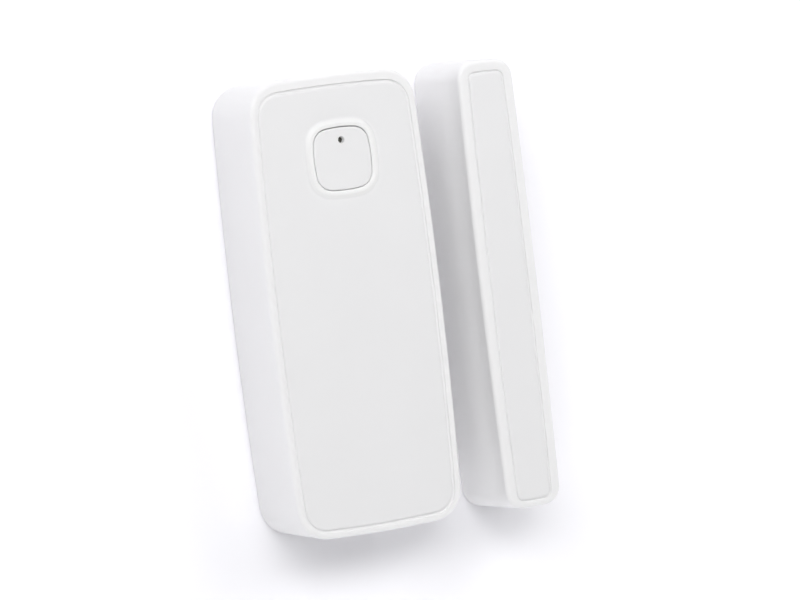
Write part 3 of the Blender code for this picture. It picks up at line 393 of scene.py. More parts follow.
class Nodes:
    """A material being built: its node tree and its Principled shader."""

    def __init__(self, name):
        self.material = bpy.data.materials.new(name)
        self.material.use_nodes = True
        self.tree = self.material.node_tree
        self.shader = self.tree.nodes["Principled BSDF"]
        self.coordinates = self.tree.nodes.new("ShaderNodeTexCoord").outputs["Object"]

    def add(self, kind, **settings):
        node = self.tree.nodes.new(kind)
        for name, value in settings.items():
            setattr(node, name, value)
        return node

    def link(self, output, target):
        """Links to an input, or to one of the shader's inputs by its name."""
        target = self.shader.inputs[target] if isinstance(target, str) else target
        self.tree.links.new(output, target)

    def stretched(self, stretch):
        """The coordinates, drawn out along an axis where its factor is over 1."""
        node = self.add("ShaderNodeMapping")
        node.inputs["Scale"].default_value = [1 / factor for factor in stretch]
        self.link(self.coordinates, node.inputs["Vector"])
        return node.outputs["Vector"]

    def noise(self, size, detail=2.0, stretch=(1, 1, 1)):
        """Noise whose features are about this size, as a value from 0 to 1."""
        noise = self.add("ShaderNodeTexNoise")
        noise.inputs["Scale"].default_value = 1 / size
        noise.inputs["Detail"].default_value = detail
        self.link(self.stretched(stretch), noise.inputs["Vector"])
        return noise.outputs["Fac"]

    def cells(self, size, output="Distance", feature="F1", distance="EUCLIDEAN"):
        """Cells of about this size: the distance from a cell's centre, or a colour for each cell."""
        cells = self.add("ShaderNodeTexVoronoi", feature=feature, distance=distance)
        cells.inputs["Scale"].default_value = 1 / size
        self.link(self.coordinates, cells.inputs["Vector"])
        return cells.outputs[output]

    def part(self, vector, axis):
        """One coordinate of a vector."""
        node = self.add("ShaderNodeSeparateXYZ")
        self.link(vector, node.inputs["Vector"])
        return node.outputs[axis]

    def ramp(self, value, low, high, low_out, high_out):
        """Maps a value's range to another range of numbers."""
        node = self.add("ShaderNodeMapRange")
        numbers = (low, high, low_out, high_out)
        for name, number in zip(MAP_RANGE_INPUTS, numbers):
            node.inputs[name].default_value = number
        self.link(value, node.inputs["Value"])
        return node.outputs["Result"]

    def mix(self, share, first, second):
        """A colour between two, each of which is a colour or an output."""
        node = self.add("ShaderNodeMix", data_type="RGBA")
        self.link(share, node.inputs["Factor"])
        for name, colour in (("A_Color", first), ("B_Color", second)):
            target = next(item for item in node.inputs if item.identifier == name)
            if isinstance(colour, tuple):
                target.default_value = (*colour, 1)
            else:
                self.link(colour, target)
        return next(item for item in node.outputs if item.identifier == "Result_Color")

    def bump(self, height, distance, under=None):
        node = self.add("ShaderNodeBump")
        node.inputs["Distance"].default_value = distance
        node.inputs["Strength"].default_value = 1.0
        self.link(height, node.inputs["Height"])
        if under is not None:
            self.link(under, node.inputs["Normal"])
        return node.outputs["Normal"]

    def set(self, **values):
        for name, value in values.items():
            self.shader.inputs[name.replace("_", " ")].default_value = value


def darker(colour, factor):
    return tuple(channel * factor for channel in colour)


def moulded_plastic(name, colour, roughness, grain=0.16 * MM, height=0.004 * MM, raised=None):
    """Moulded plastic: a fine eroded grain, faint waves from the mould and a roughness that varies.

    raised is a height and a lighter colour: above that height the surface is painted in it, a painted
    highlight that fades in over a short rise.
    """
    nodes = Nodes(name)
    cloud = nodes.ramp(nodes.noise(14 * MM, 3), 0.3, 0.7, 0, 1)
    speckle = nodes.ramp(nodes.cells(0.35 * MM), 0.0, 0.12, 1, 0)
    clouded = nodes.mix(cloud, darker(colour, 0.988), colour)
    speckled = nodes.mix(nodes.ramp(speckle, 0, 1, 0, 0.15), clouded, darker(colour, 0.93))
    if raised:
        # Painted highlight: the surface is painted lighter above the given height
        level, white = raised
        above = nodes.ramp(nodes.part(nodes.coordinates, "Z"), level, level + RING_HIGHLIGHT_FADE, 0, 1)
        speckled = nodes.mix(above, speckled, white)
    nodes.link(speckled, "Base Color")
    rough = nodes.ramp(nodes.noise(5 * MM, 4), 0.3, 0.7, roughness - 0.04, roughness + 0.04)
    nodes.link(rough, "Roughness")
    waves = nodes.bump(nodes.noise(3 * MM, 1), 0.003 * MM)
    nodes.link(nodes.bump(nodes.noise(grain, 2), height, under=waves), "Normal")
    nodes.set(IOR=1.5)
    return nodes.material


def clear_acrylic():
    """Polished tinted clear plastic, with flow lines from its mould."""
    nodes = Nodes("clear_acrylic")
    flow = nodes.noise(0.7 * MM, 2, stretch=(1, 1, 4))
    nodes.link(nodes.mix(flow, (0.5, 0.47, 0.4), (0.62, 0.6, 0.54)), "Base Color")
    nodes.link(nodes.ramp(flow, 0.3, 0.7, 0.05, 0.14), "Roughness")
    nodes.link(nodes.bump(flow, 0.004 * MM), "Normal")
    nodes.set(IOR=1.49, Transmission_Weight=0.85)
    return nodes.material


def drawn_glass():
    """Greenish glass of the reed switch, drawn along Y."""
    nodes = Nodes("drawn_glass")
    lines = nodes.noise(0.3 * MM, 2, stretch=(1, 12, 1))
    nodes.link(nodes.mix(lines, (0.62, 0.78, 0.64), (0.78, 0.88, 0.78)), "Base Color")
    nodes.link(nodes.ramp(lines, 0.3, 0.7, 0.02, 0.07), "Roughness")
    nodes.link(nodes.bump(lines, 0.002 * MM), "Normal")
    nodes.set(IOR=1.52, Transmission_Weight=0.9)
    return nodes.material


def solder_masked_board():
    """Green solder mask over copper with narrow gaps and vias, and bare glass fibre at the cut edges."""
    nodes = Nodes("solder_masked_board")
    apart = nodes.add("ShaderNodeMath", operation="SUBTRACT")
    for item, feature in enumerate(("F2", "F1")):
        nodes.link(nodes.cells(4.2 * MM, feature=feature, distance="MANHATTAN"), apart.inputs[item])
    copper = nodes.ramp(apart.outputs["Value"], 0.05, 0.08, 0, 1)
    via = nodes.ramp(nodes.cells(2.4 * MM), 0.08, 0.11, 1, 0)
    cloud = nodes.ramp(nodes.noise(6 * MM, 3), 0.3, 0.7, 0, 1)
    bare = nodes.mix(cloud, (0.012, 0.12, 0.048), (0.016, 0.135, 0.055))
    covered = nodes.mix(copper, bare, (0.02, 0.165, 0.066))
    masked = nodes.mix(via, covered, (0.4, 0.42, 0.3))
    weave = nodes.noise(0.25 * MM, 2, stretch=(3, 3, 1))
    fibre = nodes.mix(weave, (0.42, 0.38, 0.2), (0.62, 0.58, 0.36))
    upright = nodes.add("ShaderNodeMath", operation="ABSOLUTE")
    normal = nodes.add("ShaderNodeNewGeometry").outputs["Normal"]
    nodes.link(nodes.part(normal, "Z"), upright.inputs[0])
    nodes.link(nodes.mix(nodes.ramp(upright.outputs["Value"], 0.45, 0.55, 0, 1), fibre, masked), "Base Color")
    nodes.link(nodes.ramp(cloud, 0, 1, 0.24, 0.34), "Roughness")
    nodes.link(nodes.bump(copper, 0.035 * MM), "Normal")
    nodes.set(IOR=1.55)
    return nodes.material


def metal(name, colour, roughness, patch, grain, drawn=(1, 1, 1)):
    """Plated or drawn metal: clouded in patches, with fine lines along the way that it was drawn."""
    nodes = Nodes(name)
    cloud = nodes.ramp(nodes.noise(patch, 3), 0.3, 0.7, 0, 1)
    nodes.link(nodes.mix(cloud, darker(colour, 0.8), colour), "Base Color")
    lines = nodes.noise(grain, 3, stretch=drawn)
    nodes.link(nodes.ramp(lines, 0.3, 0.7, roughness - 0.07, roughness + 0.09), "Roughness")
    nodes.link(nodes.bump(lines, 0.003 * MM), "Normal")
    nodes.set(Metallic=1.0)
    return nodes.material


def zinc_plate():
    """Zinc plate: pale spangles, each a little different in tone and gloss."""
    nodes = Nodes("zinc_plate")
    spangle = nodes.part(nodes.cells(0.5 * MM, "Color"), "X")
    nodes.link(nodes.mix(spangle, (0.5, 0.51, 0.53), (0.7, 0.7, 0.71)), "Base Color")
    nodes.link(nodes.ramp(spangle, 0, 1, 0.26, 0.42), "Roughness")
    nodes.link(nodes.bump(nodes.noise(0.2 * MM, 3), 0.004 * MM), "Normal")
    nodes.set(Metallic=1.0)
    return nodes.material


def cell_finish(name, positive_up):
    """A cell's dark jacket, the copper-coloured band at its positive end and its bare steel ends."""
    low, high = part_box(name)
    nodes = Nodes(name + "_jacket")
    start, stop = (high.y, low.y) if positive_up else (low.y, high.y)
    way = math.copysign(1, stop - start)
    along = nodes.part(nodes.coordinates, "Y")
    band_start = start + way * CELL_BARE_END
    band_stop = start + way * CELL_BAND_END
    jacket_stop = stop - way * CELL_BARE_FOOT
    soft = way * 0.05 * MM
    in_band = nodes.ramp(along, band_stop, band_stop + soft, 1, 0)
    bare = nodes.add("ShaderNodeMath", operation="MAXIMUM")
    nodes.link(nodes.ramp(along, band_start, band_start + soft, 1, 0), bare.inputs[0])
    nodes.link(nodes.ramp(along, jacket_stop, jacket_stop + soft, 0, 1), bare.inputs[1])
    bare = bare.outputs["Value"]
    cloud = nodes.ramp(nodes.noise(3 * MM, 3), 0.3, 0.7, 0, 1)
    jacket = nodes.mix(cloud, (0.03, 0.034, 0.042), (0.045, 0.05, 0.06))
    printed = nodes.mix(in_band, jacket, (0.48, 0.22, 0.09))
    nodes.link(nodes.mix(bare, printed, (0.62, 0.61, 0.58)), "Base Color")
    metallic = nodes.add("ShaderNodeMath", operation="MAXIMUM")
    nodes.link(bare, metallic.inputs[0])
    nodes.link(nodes.ramp(in_band, 0, 1, 0.25, 0.9), metallic.inputs[1])
    nodes.link(metallic.outputs["Value"], "Metallic")
    nodes.link(nodes.ramp(nodes.noise(0.8 * MM, 3), 0.3, 0.7, 0.24, 0.36), "Roughness")
    nodes.link(nodes.bump(nodes.noise(1.2 * MM, 2), 0.006 * MM), "Normal")
    nodes.set(Coat_Weight=0.4, Coat_Roughness=0.15)
    return nodes.material


def sintered_ferrite():
    """Dark sintered ferrite: fine grains, and faint lines along Y from grinding."""
    nodes = Nodes("sintered_ferrite")
    grain = nodes.part(nodes.cells(0.12 * MM, "Color"), "X")
    nodes.link(nodes.mix(grain, (0.035, 0.035, 0.04), (0.085, 0.083, 0.088)), "Base Color")
    nodes.link(nodes.ramp(grain, 0, 1, 0.42, 0.66), "Roughness")
    ground = nodes.bump(nodes.noise(0.15 * MM, 2, stretch=(1, 14, 1)), 0.006 * MM)
    nodes.link(nodes.bump(grain, 0.004 * MM, under=ground), "Normal")
    nodes.set(Metallic=0.25)
    return nodes.material


def closed_cell_foam():
    """White polyethylene foam: small closed cells in slightly different tones, a little translucent."""
    nodes = Nodes("closed_cell_foam")
    cell = nodes.part(nodes.cells(FOAM_CELL, "Color"), "X")
    nodes.link(nodes.mix(cell, (0.7, 0.7, 0.67), (0.83, 0.83, 0.8)), "Base Color")
    nodes.link(nodes.ramp(cell, 0, 1, 0.7, 0.9), "Roughness")
    skin = nodes.bump(nodes.cells(FOAM_CELL), 0.05 * MM)
    nodes.link(nodes.bump(nodes.noise(0.9 * MM, 3), 0.03 * MM, under=skin), "Normal")
    nodes.set(Subsurface_Weight=0.25, Subsurface_Scale=0.6 * MM, Subsurface_Radius=(1, 1, 1))
    return nodes.material


def make_materials():
    """The finish of each of the record's material slots."""
    return {
        "white_plastic": moulded_plastic("white_satin_plastic", SHELL_WHITE, 0.42),
        "cover_plastic": moulded_plastic("eroded_plastic", COVER_WHITE, 0.55, 0.3 * MM, 0.012 * MM),
        "clear_plastic": clear_acrylic(),
        "black_plastic": moulded_plastic("black_nylon", (0.022, 0.022, 0.024), 0.48, 0.25 * MM, 0.012 * MM),
        "board_laminate": solder_masked_board(),
        "reed_glass": drawn_glass(),
        "nickel": metal("nickel_plate", (0.74, 0.71, 0.65), 0.26, 1.6 * MM, 0.12 * MM),
        "steel": zinc_plate(),
        "copper": metal("copper_wire", (0.86, 0.42, 0.24), 0.24, 1.2 * MM, 0.1 * MM),
        "aluminium": metal("drawn_can", (0.8, 0.81, 0.83), 0.3, 2 * MM, 0.1 * MM, drawn=(1, 1, 16)),
        "ferrite": sintered_ferrite(),
        "pad_foam": closed_cell_foam(),
    }


# ---------------------------------------------------------------------------------------------------
# Shells


def make_housing(outline, top, back, wall, edge_radius, rims, groove_shift, draft=0.0):
    """Rings of a shell from its web's underside, down inside, round the back edge and up to its pocket.

    rims are how far in the groove starts, at the sides and at the ends. draft is how far the outer wall
    leans out at the back. Returns the surface with the two loops that its web joins.
    """
    surface = Surface()
    web_low = top - WEB_DEPTH - WEB_THICKNESS
    inside = rounded(wall + INNER_FILLET, web_low, wall, web_low - INNER_FILLET, 4)
    inside += rounded(wall, back + MOUTH_LEAD_IN, wall - INNER_FILLET, back, 3)
    outside = rounded(BACK_EDGE_RADIUS, back, 0, back + BACK_EDGE_RADIUS, 4, outwards=False)
    outside += [(0, back + share * (top - edge_radius - back)) for share in (0.25, 0.5, 0.75)]
    outside += rounded(0, top - edge_radius, edge_radius, top, 10)
    rings = [outline.ring(inset, z) for inset, z in inside]
    for inset, z in outside:
        lean = draft * (top - z) / (top - back)
        rings.append(outline.ring(inset - lean, z))
    lip = [(step * MM, drop * MM) for step, drop in RIM_EDGE]
    lip += [(LEDGE_WIDTH, -GROOVE_DEPTH), (LEDGE_WIDTH, -WEB_DEPTH)]
    for step, drop in lip:
        ring = outline.ring(rims[0] + step, top + drop, rims[1] + step)
        rings.append([point + groove_shift for point in ring])
    first = surface.loop(rings.pop(0))
    last = surface.skin(rings, first)
    return surface, first, last


def panel_surface(outline, top, rims, groove, shift):
    """Rings of a panel from its underside, under its lip and over its soft shoulder to its flat front."""
    surface = Surface()
    steps = [(LIP_WIDTH, -PANEL_DEPTH), (LIP_WIDTH, -LIP_DEPTH)]
    steps += [(step * MM, drop * MM) for step, drop in PANEL_EDGE]
    side, end = rims[0] + groove, rims[1] + groove
    rings = [outline.ring(side + step, top + drop, end + step) for step, drop in steps]
    rings = [[point + shift for point in ring] for ring in rings]
    first = surface.loop(rings.pop(0))
    last = surface.skin(rings, first)
    return surface, first, last


def bezel_rings(button, top, height):
    """Rings over the raised ring: up its soft outer slope, over its crest and down its inner wall."""
    rings = []
    steps = 12
    for step in range(steps + 1):
        share = step / steps
        growth = BEZEL_WIDTH + (BEZEL_CREST - BEZEL_WIDTH) * share
        rise = height * (1 - math.cos(math.pi * share)) / 2
        rings.append(button.ring(-BUTTON_GAP - growth, top + rise))
    for inset, z in rounded(-BEZEL_CREST, height, 0, height - BEZEL_INNER_DROP, 6, outwards=False)[1:]:
        rings.append(button.ring(inset - BUTTON_GAP, top + z))
    rings.append(button.ring(-BUTTON_GAP, top))
    return rings


def sensor_outline():
    low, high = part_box("front_housing")
    return Outline(low, high, SENSOR_SIDE_RADIUS, SENSOR_END_RADIUS, SENSOR_CORNER_RADIUS)


def magnet_outline():
    """The magnet unit's outline at the front. Its housing's box is wider, by the draft at the back."""
    low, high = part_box("magnet_housing")
    draft = Vector((MAGNET_DRAFT, MAGNET_DRAFT, 0))
    return Outline(low + draft, high - draft, MAGNET_SIDE_RADIUS, MAGNET_END_RADIUS, MAGNET_CORNER_RADIUS)


def button_outline():
    """The button's cap, which its flange overhangs all round."""
    low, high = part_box("button")
    inwards = Vector((FLANGE_OVERHANG, FLANGE_OVERHANG, 0))
    low = low + inwards - Vector((0, BUTTON_REACH, 0))
    return Outline(low, high - inwards, BUTTON_SIDE_RADIUS, BUTTON_SIDE_RADIUS, BUTTON_CORNER_RADIUS)


def panel_inset(panel_name, outline, groove):
    """How far inside the housing's outline the groove's outer edge lies, at the sides and at the ends."""
    low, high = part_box(panel_name)
    side = outline.half_width - (high.x - low.x) / 2 - groove
    end = outline.half_length - (high.y - low.y) / 2 - groove
    return side, end


def add_screw_posts(shell, root_height):
    """Bored posts from the web down to the board, over its screws."""
    board_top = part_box("circuit_board")[1].z
    for number in range(1, 5):
        screw_low, screw_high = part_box(f"board_screw_{number}")
        axis = (screw_low + screw_high) / 2
        foot = Vector((axis.x, axis.y, board_top + POST_GAP))
        root = Vector((axis.x, axis.y, root_height))
        combine(shell, rod(POST_RADIUS, foot, root), "UNION")
        bore_start = foot - Vector((0, 0, CUT_PAST))
        bore_stop = foot + Vector((0, 0, POST_BORE_DEPTH))
        combine(shell, rod(POST_BORE_RADIUS, bore_start, bore_stop), "DIFFERENCE")


def make_front_housing(plastic):
    outline = sensor_outline()
    low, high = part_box("front_housing")
    rims = panel_inset("front_panel", outline, SENSOR_GROOVE)
    surface, inside, pocket = make_housing(
        outline, high.z, low.z, SENSOR_WALL, SENSOR_EDGE_RADIUS, rims, SENSOR_GROOVE_SHIFT
    )
    button = button_outline()
    web_top = high.z - WEB_DEPTH
    upper = surface.loop(button.ring(-BUTTON_GAP, web_top))
    lower = surface.loop(button.ring(-BUTTON_GAP, web_top - WEB_THICKNESS))
    surface.stitch(upper, lower)
    surface.fill(pocket, upper)
    surface.fill(inside, lower)
    shell = surface.piece("front_shell")
    add_screw_posts(shell, web_top - WEB_THICKNESS / 2)
    finish_piece(shell, "sensor", plastic, "white_plastic", "front_housing")


def make_front_panel(plastic):
    outline = sensor_outline()
    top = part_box("front_housing")[1].z
    rims = panel_inset("front_panel", outline, SENSOR_GROOVE)
    surface, under, front = panel_surface(outline, top, rims, SENSOR_GROOVE, SENSOR_GROOVE_SHIFT)
    button = button_outline()
    rings = bezel_rings(button, top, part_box("front_panel")[1].z - top)
    foot = surface.loop(rings.pop(0))
    wall = surface.skin(rings, foot)
    wall_end = surface.skin([button.ring(-BUTTON_GAP, top - PANEL_DEPTH)], wall)
    surface.fill(front, foot)
    surface.fill(under, wall_end)
    finish_piece(surface.piece("front_plate"), "sensor", plastic, "white_plastic", "front_panel")


def button_cap(outline, low, high):
    """The cap from its hollow underside, round its flange and up its side to its dished front."""
    flange_top = low.z + FLANGE_THICKNESS
    pairs = [(BUTTON_WALL, high.z - BUTTON_CROWN), (BUTTON_WALL, low.z)]
    pairs += [(-FLANGE_OVERHANG + FLANGE_CHAMFER, low.z), (-FLANGE_OVERHANG, low.z + FLANGE_CHAMFER)]
    pairs += [(-FLANGE_OVERHANG, flange_top), (0, flange_top)]
    pairs += rounded(0, high.z - BUTTON_EDGE_RADIUS, BUTTON_EDGE_RADIUS, high.z, 7)
    surface = Surface()
    rings = []
    for inset, z in pairs:
        ring = outline.ring(inset - CAP_SIDE_GROWTH, z, inset - CAP_END_GROWTH)
        rings.append([point + CAP_SHIFT for point in ring])
    centre = Vector((*outline.centre, 0)) + CAP_SHIFT
    edge = [point - centre for point in rings[-1]]
    steps = 16
    for step in range(1, steps):
        share = 1 - step / steps
        flat = Matrix.Diagonal((share, share, 1))
        drop = Vector((0, 0, -BUTTON_DISH * (1 - share**2)))
        rings.append([centre + flat @ point + drop for point in edge])
    first = surface.loop(rings.pop(0))
    last = surface.skin(rings, first)
    surface.fill(first)
    surface.fill(last)
    return surface.piece("button_cap")


def add_stem_and_socket(cap, centre, pipe, pipe_foot, inside_top):
    """The stem that presses the switch, and the bored socket that holds the light pipe."""
    stem_low = Vector((*centre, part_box("button_switch_plunger")[1].z + STEM_GAP))
    stem_high = Vector((*centre, inside_top + ROOT_DEPTH))
    combine(cap, rod(STEM_RADIUS, stem_low, stem_high), "UNION")
    socket_low = Vector((*pipe, pipe_foot + SOCKET_START))
    socket_high = Vector((*pipe, inside_top + ROOT_DEPTH))
    combine(cap, rod(SOCKET_RADIUS, socket_low, socket_high), "UNION")
    bore_low = Vector((*pipe, socket_low.z - CUT_PAST))
    combine(cap, rod(PIPE_BORE_RADIUS, bore_low, Vector((*pipe, inside_top))), "DIFFERENCE")


def cut_light_hole(cap, hole, inside_top, top):
    """The light hole through the cap's front, with a slight countersink."""
    drill_low = Vector((*hole, inside_top - CUT_PAST))
    drill_high = Vector((*hole, top + CUT_PAST))
    combine(cap, rod(LIGHT_HOLE_RADIUS, drill_low, drill_high), "DIFFERENCE")
    front = top - BUTTON_DISH * HOLE_DISH_SHARE
    countersink = rod(
        LIGHT_HOLE_RADIUS - COUNTERSINK_NARROWING,
        Vector((*hole, front - COUNTERSINK_DEPTH)),
        Vector((*hole, front + COUNTERSINK_RISE)),
        end_radius=LIGHT_HOLE_RADIUS + COUNTERSINK_SPREAD,
    )
    combine(cap, countersink, "DIFFERENCE")


def make_button(plastic):
    outline = button_outline()
    low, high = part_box("button")
    inside_top = high.z - BUTTON_CROWN
    cap = button_cap(outline, low, high)
    pipe_low, pipe_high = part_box("light_pipe")
    pipe = (pipe_low + pipe_high) / 2
    add_stem_and_socket(cap, outline.centre, pipe.xy, pipe_low.z, inside_top)
    cut_light_hole(cap, (pipe + LIGHT_HOLE_SHIFT).xy, inside_top, high.z)
    finish_piece(cap, "button", plastic, "white_plastic", "button")


def make_magnet_housing(plastic):
    outline = magnet_outline()
    low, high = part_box("magnet_housing")
    rims = panel_inset("magnet_panel", outline, MAGNET_GROOVE)
    surface, inside, pocket = make_housing(
        outline, high.z, low.z, MAGNET_WALL, MAGNET_EDGE_RADIUS, rims, MAGNET_GROOVE_SHIFT, MAGNET_DRAFT
    )
    surface.fill(pocket)
    surface.fill(inside)
    finish_piece(surface.piece("magnet_shell"), "magnet_unit", plastic, "white_plastic", "magnet_housing")


def make_magnet_panel(plastic):
    outline = magnet_outline()
    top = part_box("magnet_housing")[1].z
    rims = panel_inset("magnet_panel", outline, MAGNET_GROOVE)
    surface, under, front = panel_surface(outline, top, rims, MAGNET_GROOVE, MAGNET_GROOVE_SHIFT)
    surface.fill(front)
    surface.fill(under)
    finish_piece(surface.piece("magnet_plate"), "magnet_unit", plastic, "white_plastic", "magnet_panel")


def finish_piece(piece, body, material, slot, *nodes):
    """Gives a new piece its material and shading, hangs it on its body's empty, and hides the model's pieces
    that it takes the place of.
    """
    piece.data.materials.clear()
    piece.data.materials.append(material)
    shade(piece)
    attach(piece, body)
    if nodes:
        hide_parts(*nodes)


# ---------------------------------------------------------------------------------------------------
# Foam pads


def make_pad(name, node, body, foam):
    """A die-cut foam strip: flat faces, soft edges and cut sides that draw in a little at half height."""
    low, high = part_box(node)
    outline = Outline(low, high, PAD_BOW, PAD_BOW, PAD_CORNER_RADIUS)
    soft = PAD_SOFTNESS * (high.z - low.z)
    pairs = rounded(soft, low.z, 0, low.z + soft, 4, outwards=False)
    pairs += [(PAD_WAIST, (low.z + high.z) / 2)]
    pairs += rounded(0, high.z - soft, soft, high.z, 4)
    surface = Surface()
    rings = [outline.ring(inset, z) for inset, z in pairs]
    first = surface.loop(rings.pop(0))
    last = surface.skin(rings, first)
    surface.fill(first)
    surface.fill(last)
    pad = surface.piece(name)
    finish_piece(pad, body, foam, "pad_foam", node)


# ---------------------------------------------------------------------------------------------------
# Small parts on the board


def add_block(shape, centre, size, softness):
    """A small block with softened edges."""
    place = Matrix.Translation(centre) @ Matrix.Diagonal((*size, 1))
    made = bmesh.ops.create_cube(shape, size=1, matrix=place)
    edges = {edge for vert in made["verts"] for edge in vert.link_edges}
    bmesh.ops.bevel(shape, geom=list(edges), offset=softness, segments=2, affect="EDGES", profile=0.5)


def passive_places():
    """Centres of the resistors: two rows beside the controller on the board's front, one on its back."""
    chip_low, chip_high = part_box("microcontroller")
    board_low, board_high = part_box("circuit_board")
    middle = (chip_low.y + chip_high.y) / 2
    radio_low, radio_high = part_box("radio_module")
    half = PASSIVE_SIZE.z / 2
    places = []
    for number in range(PASSIVES_IN_ROW):
        step = number - (PASSIVES_IN_ROW - 1) / 2
        y = middle + step * PASSIVE_PITCH
        for x in (chip_low.x - PASSIVE_DISTANCE, chip_high.x + PASSIVE_DISTANCE):
            places.append(Vector((x, y, board_high.z + half)))
        y = (radio_low.y + radio_high.y) / 2 + step * BACK_ROW_SPREAD * PASSIVE_PITCH
        places.append(Vector((radio_low.x - PASSIVE_DISTANCE, y, board_low.z - half)))
    return places


def make_board_parts(materials):
    """Resistors with tinned ends, and the solder pads round the foot of the controller."""
    bodies = bmesh.new()
    ends = bmesh.new()
    size = PASSIVE_SIZE
    for place in passive_places():
        body = Vector((size.x * PASSIVE_WIDTH_SHARE, size.y - PASSIVE_END, size.z * PASSIVE_HEIGHT_SHARE))
        add_block(bodies, place, body, PASSIVE_BODY_SOFTNESS)
        for side in (-1, 1):
            end = place + Vector((0, side * (size.y - PASSIVE_END) / 2, 0))
            add_block(ends, end, Vector((size.x, PASSIVE_END, size.z)), PASSIVE_END_SOFTNESS)
    low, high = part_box("microcontroller")
    centre = (low + high) / 2
    board_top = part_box("circuit_board")[1].z
    pitch = (high.x - low.x) / CHIP_PADS
    for number in range(CHIP_PADS):
        step = (number - (CHIP_PADS - 1) / 2) * pitch
        for side in (-1, 1):
            reach = side * ((high.x - low.x) / 2 + CHIP_PAD_SIZE.y * CHIP_PAD_OUT)
            z = board_top + CHIP_PAD_SIZE.z / 2
            along = Vector((centre.x + step, centre.y + reach, z))
            add_block(ends, along, CHIP_PAD_SIZE, CHIP_PAD_SOFTNESS)
            beside = Vector((centre.x + reach, centre.y + step, z))
            turned = Vector((CHIP_PAD_SIZE.y, CHIP_PAD_SIZE.x, CHIP_PAD_SIZE.z))
            add_block(ends, beside, turned, CHIP_PAD_SOFTNESS)
    for name, shape, slot in (("resistor_bodies", bodies, "black_plastic"), ("solder_pads", ends, "nickel")):
        mesh = bpy.data.meshes.new(name)
        shape.to_mesh(mesh)
        shape.free()
        finish_piece(add_object(name, mesh), "sensor", materials[slot], slot)


# ---------------------------------------------------------------------------------------------------
# Carried-over pieces


def finish_nodes(materials):
    """Puts each slot's finish on the model's own pieces, with smooth shading and softened edges."""
    for row in frame["record"]["subparts"]:
        name = row["node"]
        piece = frame["nodes"][name]
        slot = row["material_slot"]
        if slot == "cell_jacket":
            material = cell_finish(name, positive_up=name == "battery_cell_left")
        else:
            material = materials[slot]
        piece.data.materials.clear()
        piece.data.materials.append(material)
        if name in SOFT_EDGED:
            bevel = piece.modifiers.new("soft_edges", "BEVEL")
            bevel.width = SOFT_EDGE
            bevel.segments = 2
            bevel.limit_method = "ANGLE"
            bevel.angle_limit = math.radians(SOFT_EDGE_ANGLE)
        shade(piece)


# ---------------------------------------------------------------------------------------------------
# Stage


def make_camera():
    target = Vector((*CAMERA_TARGET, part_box("front_housing")[1].z))
    flat = math.cos(CAMERA_ELEVATION)
    back = Vector(
        (
            math.sin(CAMERA_AZIMUTH) * flat,
            -math.cos(CAMERA_AZIMUTH) * flat,
            math.sin(CAMERA_ELEVATION),
        )
    )
    up_hint = Vector((math.sin(CAMERA_ROLL), math.cos(CAMERA_ROLL), 0))
    right = (-back).cross(up_hint).normalized()
    up = right.cross(-back)
    data = bpy.data.cameras.new("camera")
    data.sensor_width = SENSOR_SIZE
    data.lens = LENS
    data.clip_start = CLIP_START
    data.clip_end = CLIP_END
    camera = bpy.data.objects.new("camera", data)
    turn = Matrix((right, up, back)).transposed().to_4x4()
    camera.matrix_world = Matrix.Translation(target + back * CAMERA_DISTANCE) @ turn
    bpy.context.scene.collection.objects.link(camera)
    bpy.context.scene.camera = camera


def make_floor():
    """White paper, which is lit evenly to its far edge by a glow that starts well away from the object."""
    shape = bmesh.new()
    bmesh.ops.create_grid(shape, x_segments=1, y_segments=1, size=FLOOR_HALF_SIZE)
    mesh = bpy.data.meshes.new("floor")
    shape.to_mesh(mesh)
    shape.free()
    floor = add_object("floor", mesh)
    floor.location.z = -FLOOR_GAP
    nodes = Nodes("floor_paper")
    distance = nodes.add("ShaderNodeVectorMath", operation="LENGTH")
    nodes.link(nodes.coordinates, distance.inputs[0])
    glow = nodes.ramp(distance.outputs["Value"], *FLOOR_GLOW_RANGE, FLOOR_GLOW_NEAR, 1.0)
    nodes.link(glow, nodes.shader.inputs["Emission Strength"])
    nodes.set(Base_Color=(*FLOOR_COLOUR, 1), Emission_Color=(*FLOOR_COLOUR, 1), Roughness=1.0)
    nodes.set(Specular_IOR_Level=0.0)
    floor.data.materials.append(nodes.material)
    floor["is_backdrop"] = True


def make_world():
    """A bright band round the horizon under a dark dome."""
    world = bpy.data.worlds.new("studio")
    world.use_nodes = True
    nodes = world.node_tree.nodes
    links = world.node_tree.links
    direction = nodes.new("ShaderNodeTexCoord").outputs["Generated"]
    height = nodes.new("ShaderNodeSeparateXYZ")
    links.new(direction, height.inputs["Vector"])
    band = nodes.new("ShaderNodeMapRange")
    for name, value in zip(MAP_RANGE_INPUTS, (*HORIZON_RANGE, HORIZON_STRENGTH, DOME_STRENGTH)):
        band.inputs[name].default_value = value
    links.new(height.outputs["Z"], band.inputs["Value"])
    links.new(band.outputs["Result"], nodes["Background"].inputs["Strength"])
    nodes["Background"].inputs["Color"].default_value = (1, 1, 1, 1)
    bpy.context.scene.world = world


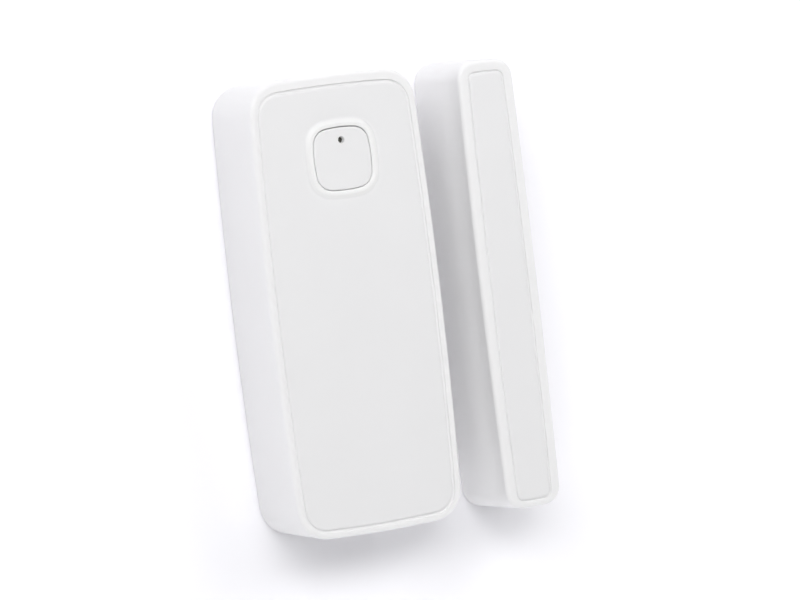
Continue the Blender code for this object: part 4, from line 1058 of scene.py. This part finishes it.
def make_lights():
    """Square soft boxes round the object, all facing it."""
    middle = Vector((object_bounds()[0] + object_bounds()[1])) / 2
    for name, azimuth, elevation, size, power in SOFT_BOXES:
        data = bpy.data.lights.new(name, "AREA")
        data.shape = "SQUARE"
        data.size = size
        data.energy = power
        light = bpy.data.objects.new(name, data)
        flat = math.cos(math.radians(elevation))
        across = Vector((math.cos(math.radians(azimuth)), math.sin(math.radians(azimuth)))) * flat
        out = Vector((*across, math.sin(math.radians(elevation))))
        light.location = middle + out * LIGHT_DISTANCE
        light.rotation_euler = out.to_track_quat("Z", "Y").to_euler()
        bpy.context.scene.collection.objects.link(light)


# ---------------------------------------------------------------------------------------------------
# The scene

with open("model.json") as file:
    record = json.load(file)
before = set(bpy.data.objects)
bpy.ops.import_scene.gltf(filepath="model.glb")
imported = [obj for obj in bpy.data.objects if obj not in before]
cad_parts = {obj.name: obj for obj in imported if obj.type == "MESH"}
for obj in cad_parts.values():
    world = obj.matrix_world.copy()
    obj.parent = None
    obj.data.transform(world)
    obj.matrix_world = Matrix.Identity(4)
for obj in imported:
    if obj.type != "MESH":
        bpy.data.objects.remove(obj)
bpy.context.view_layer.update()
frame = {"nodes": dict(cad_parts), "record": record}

materials = make_materials()
panel_white = moulded_plastic("panel_satin_plastic", PANEL_WHITE, 0.42)
# Plastic for the front plate with a painted highlight: its raised ring round the button is painted lighter
# above this level, just over the housing's top
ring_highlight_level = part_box("front_housing")[1].z + RING_HIGHLIGHT_START
ring_highlight_plastic = moulded_plastic("panel_plastic_with_painted_highlight", PANEL_WHITE, 0.42, raised=(ring_highlight_level, RING_PAINTED_HIGHLIGHT))
make_front_housing(materials["white_plastic"])
make_front_panel(ring_highlight_plastic)
make_button(panel_white)
make_magnet_housing(materials["white_plastic"])
make_magnet_panel(panel_white)
make_pad("sensor_sticky_pad", "adhesive_pad", "base", materials["pad_foam"])
make_pad("magnet_sticky_pad", "magnet_adhesive_pad", "magnet_unit", materials["pad_foam"])
make_pad("magnet_foam_strip", "magnet_foam", "magnet_unit", materials["pad_foam"])
make_board_parts(materials)
finish_nodes(materials)

make_camera()
make_floor()
make_world()
make_lights()
bpy.context.scene.view_settings.view_transform = "Standard"
bpy.context.scene.view_settings.look = "None"
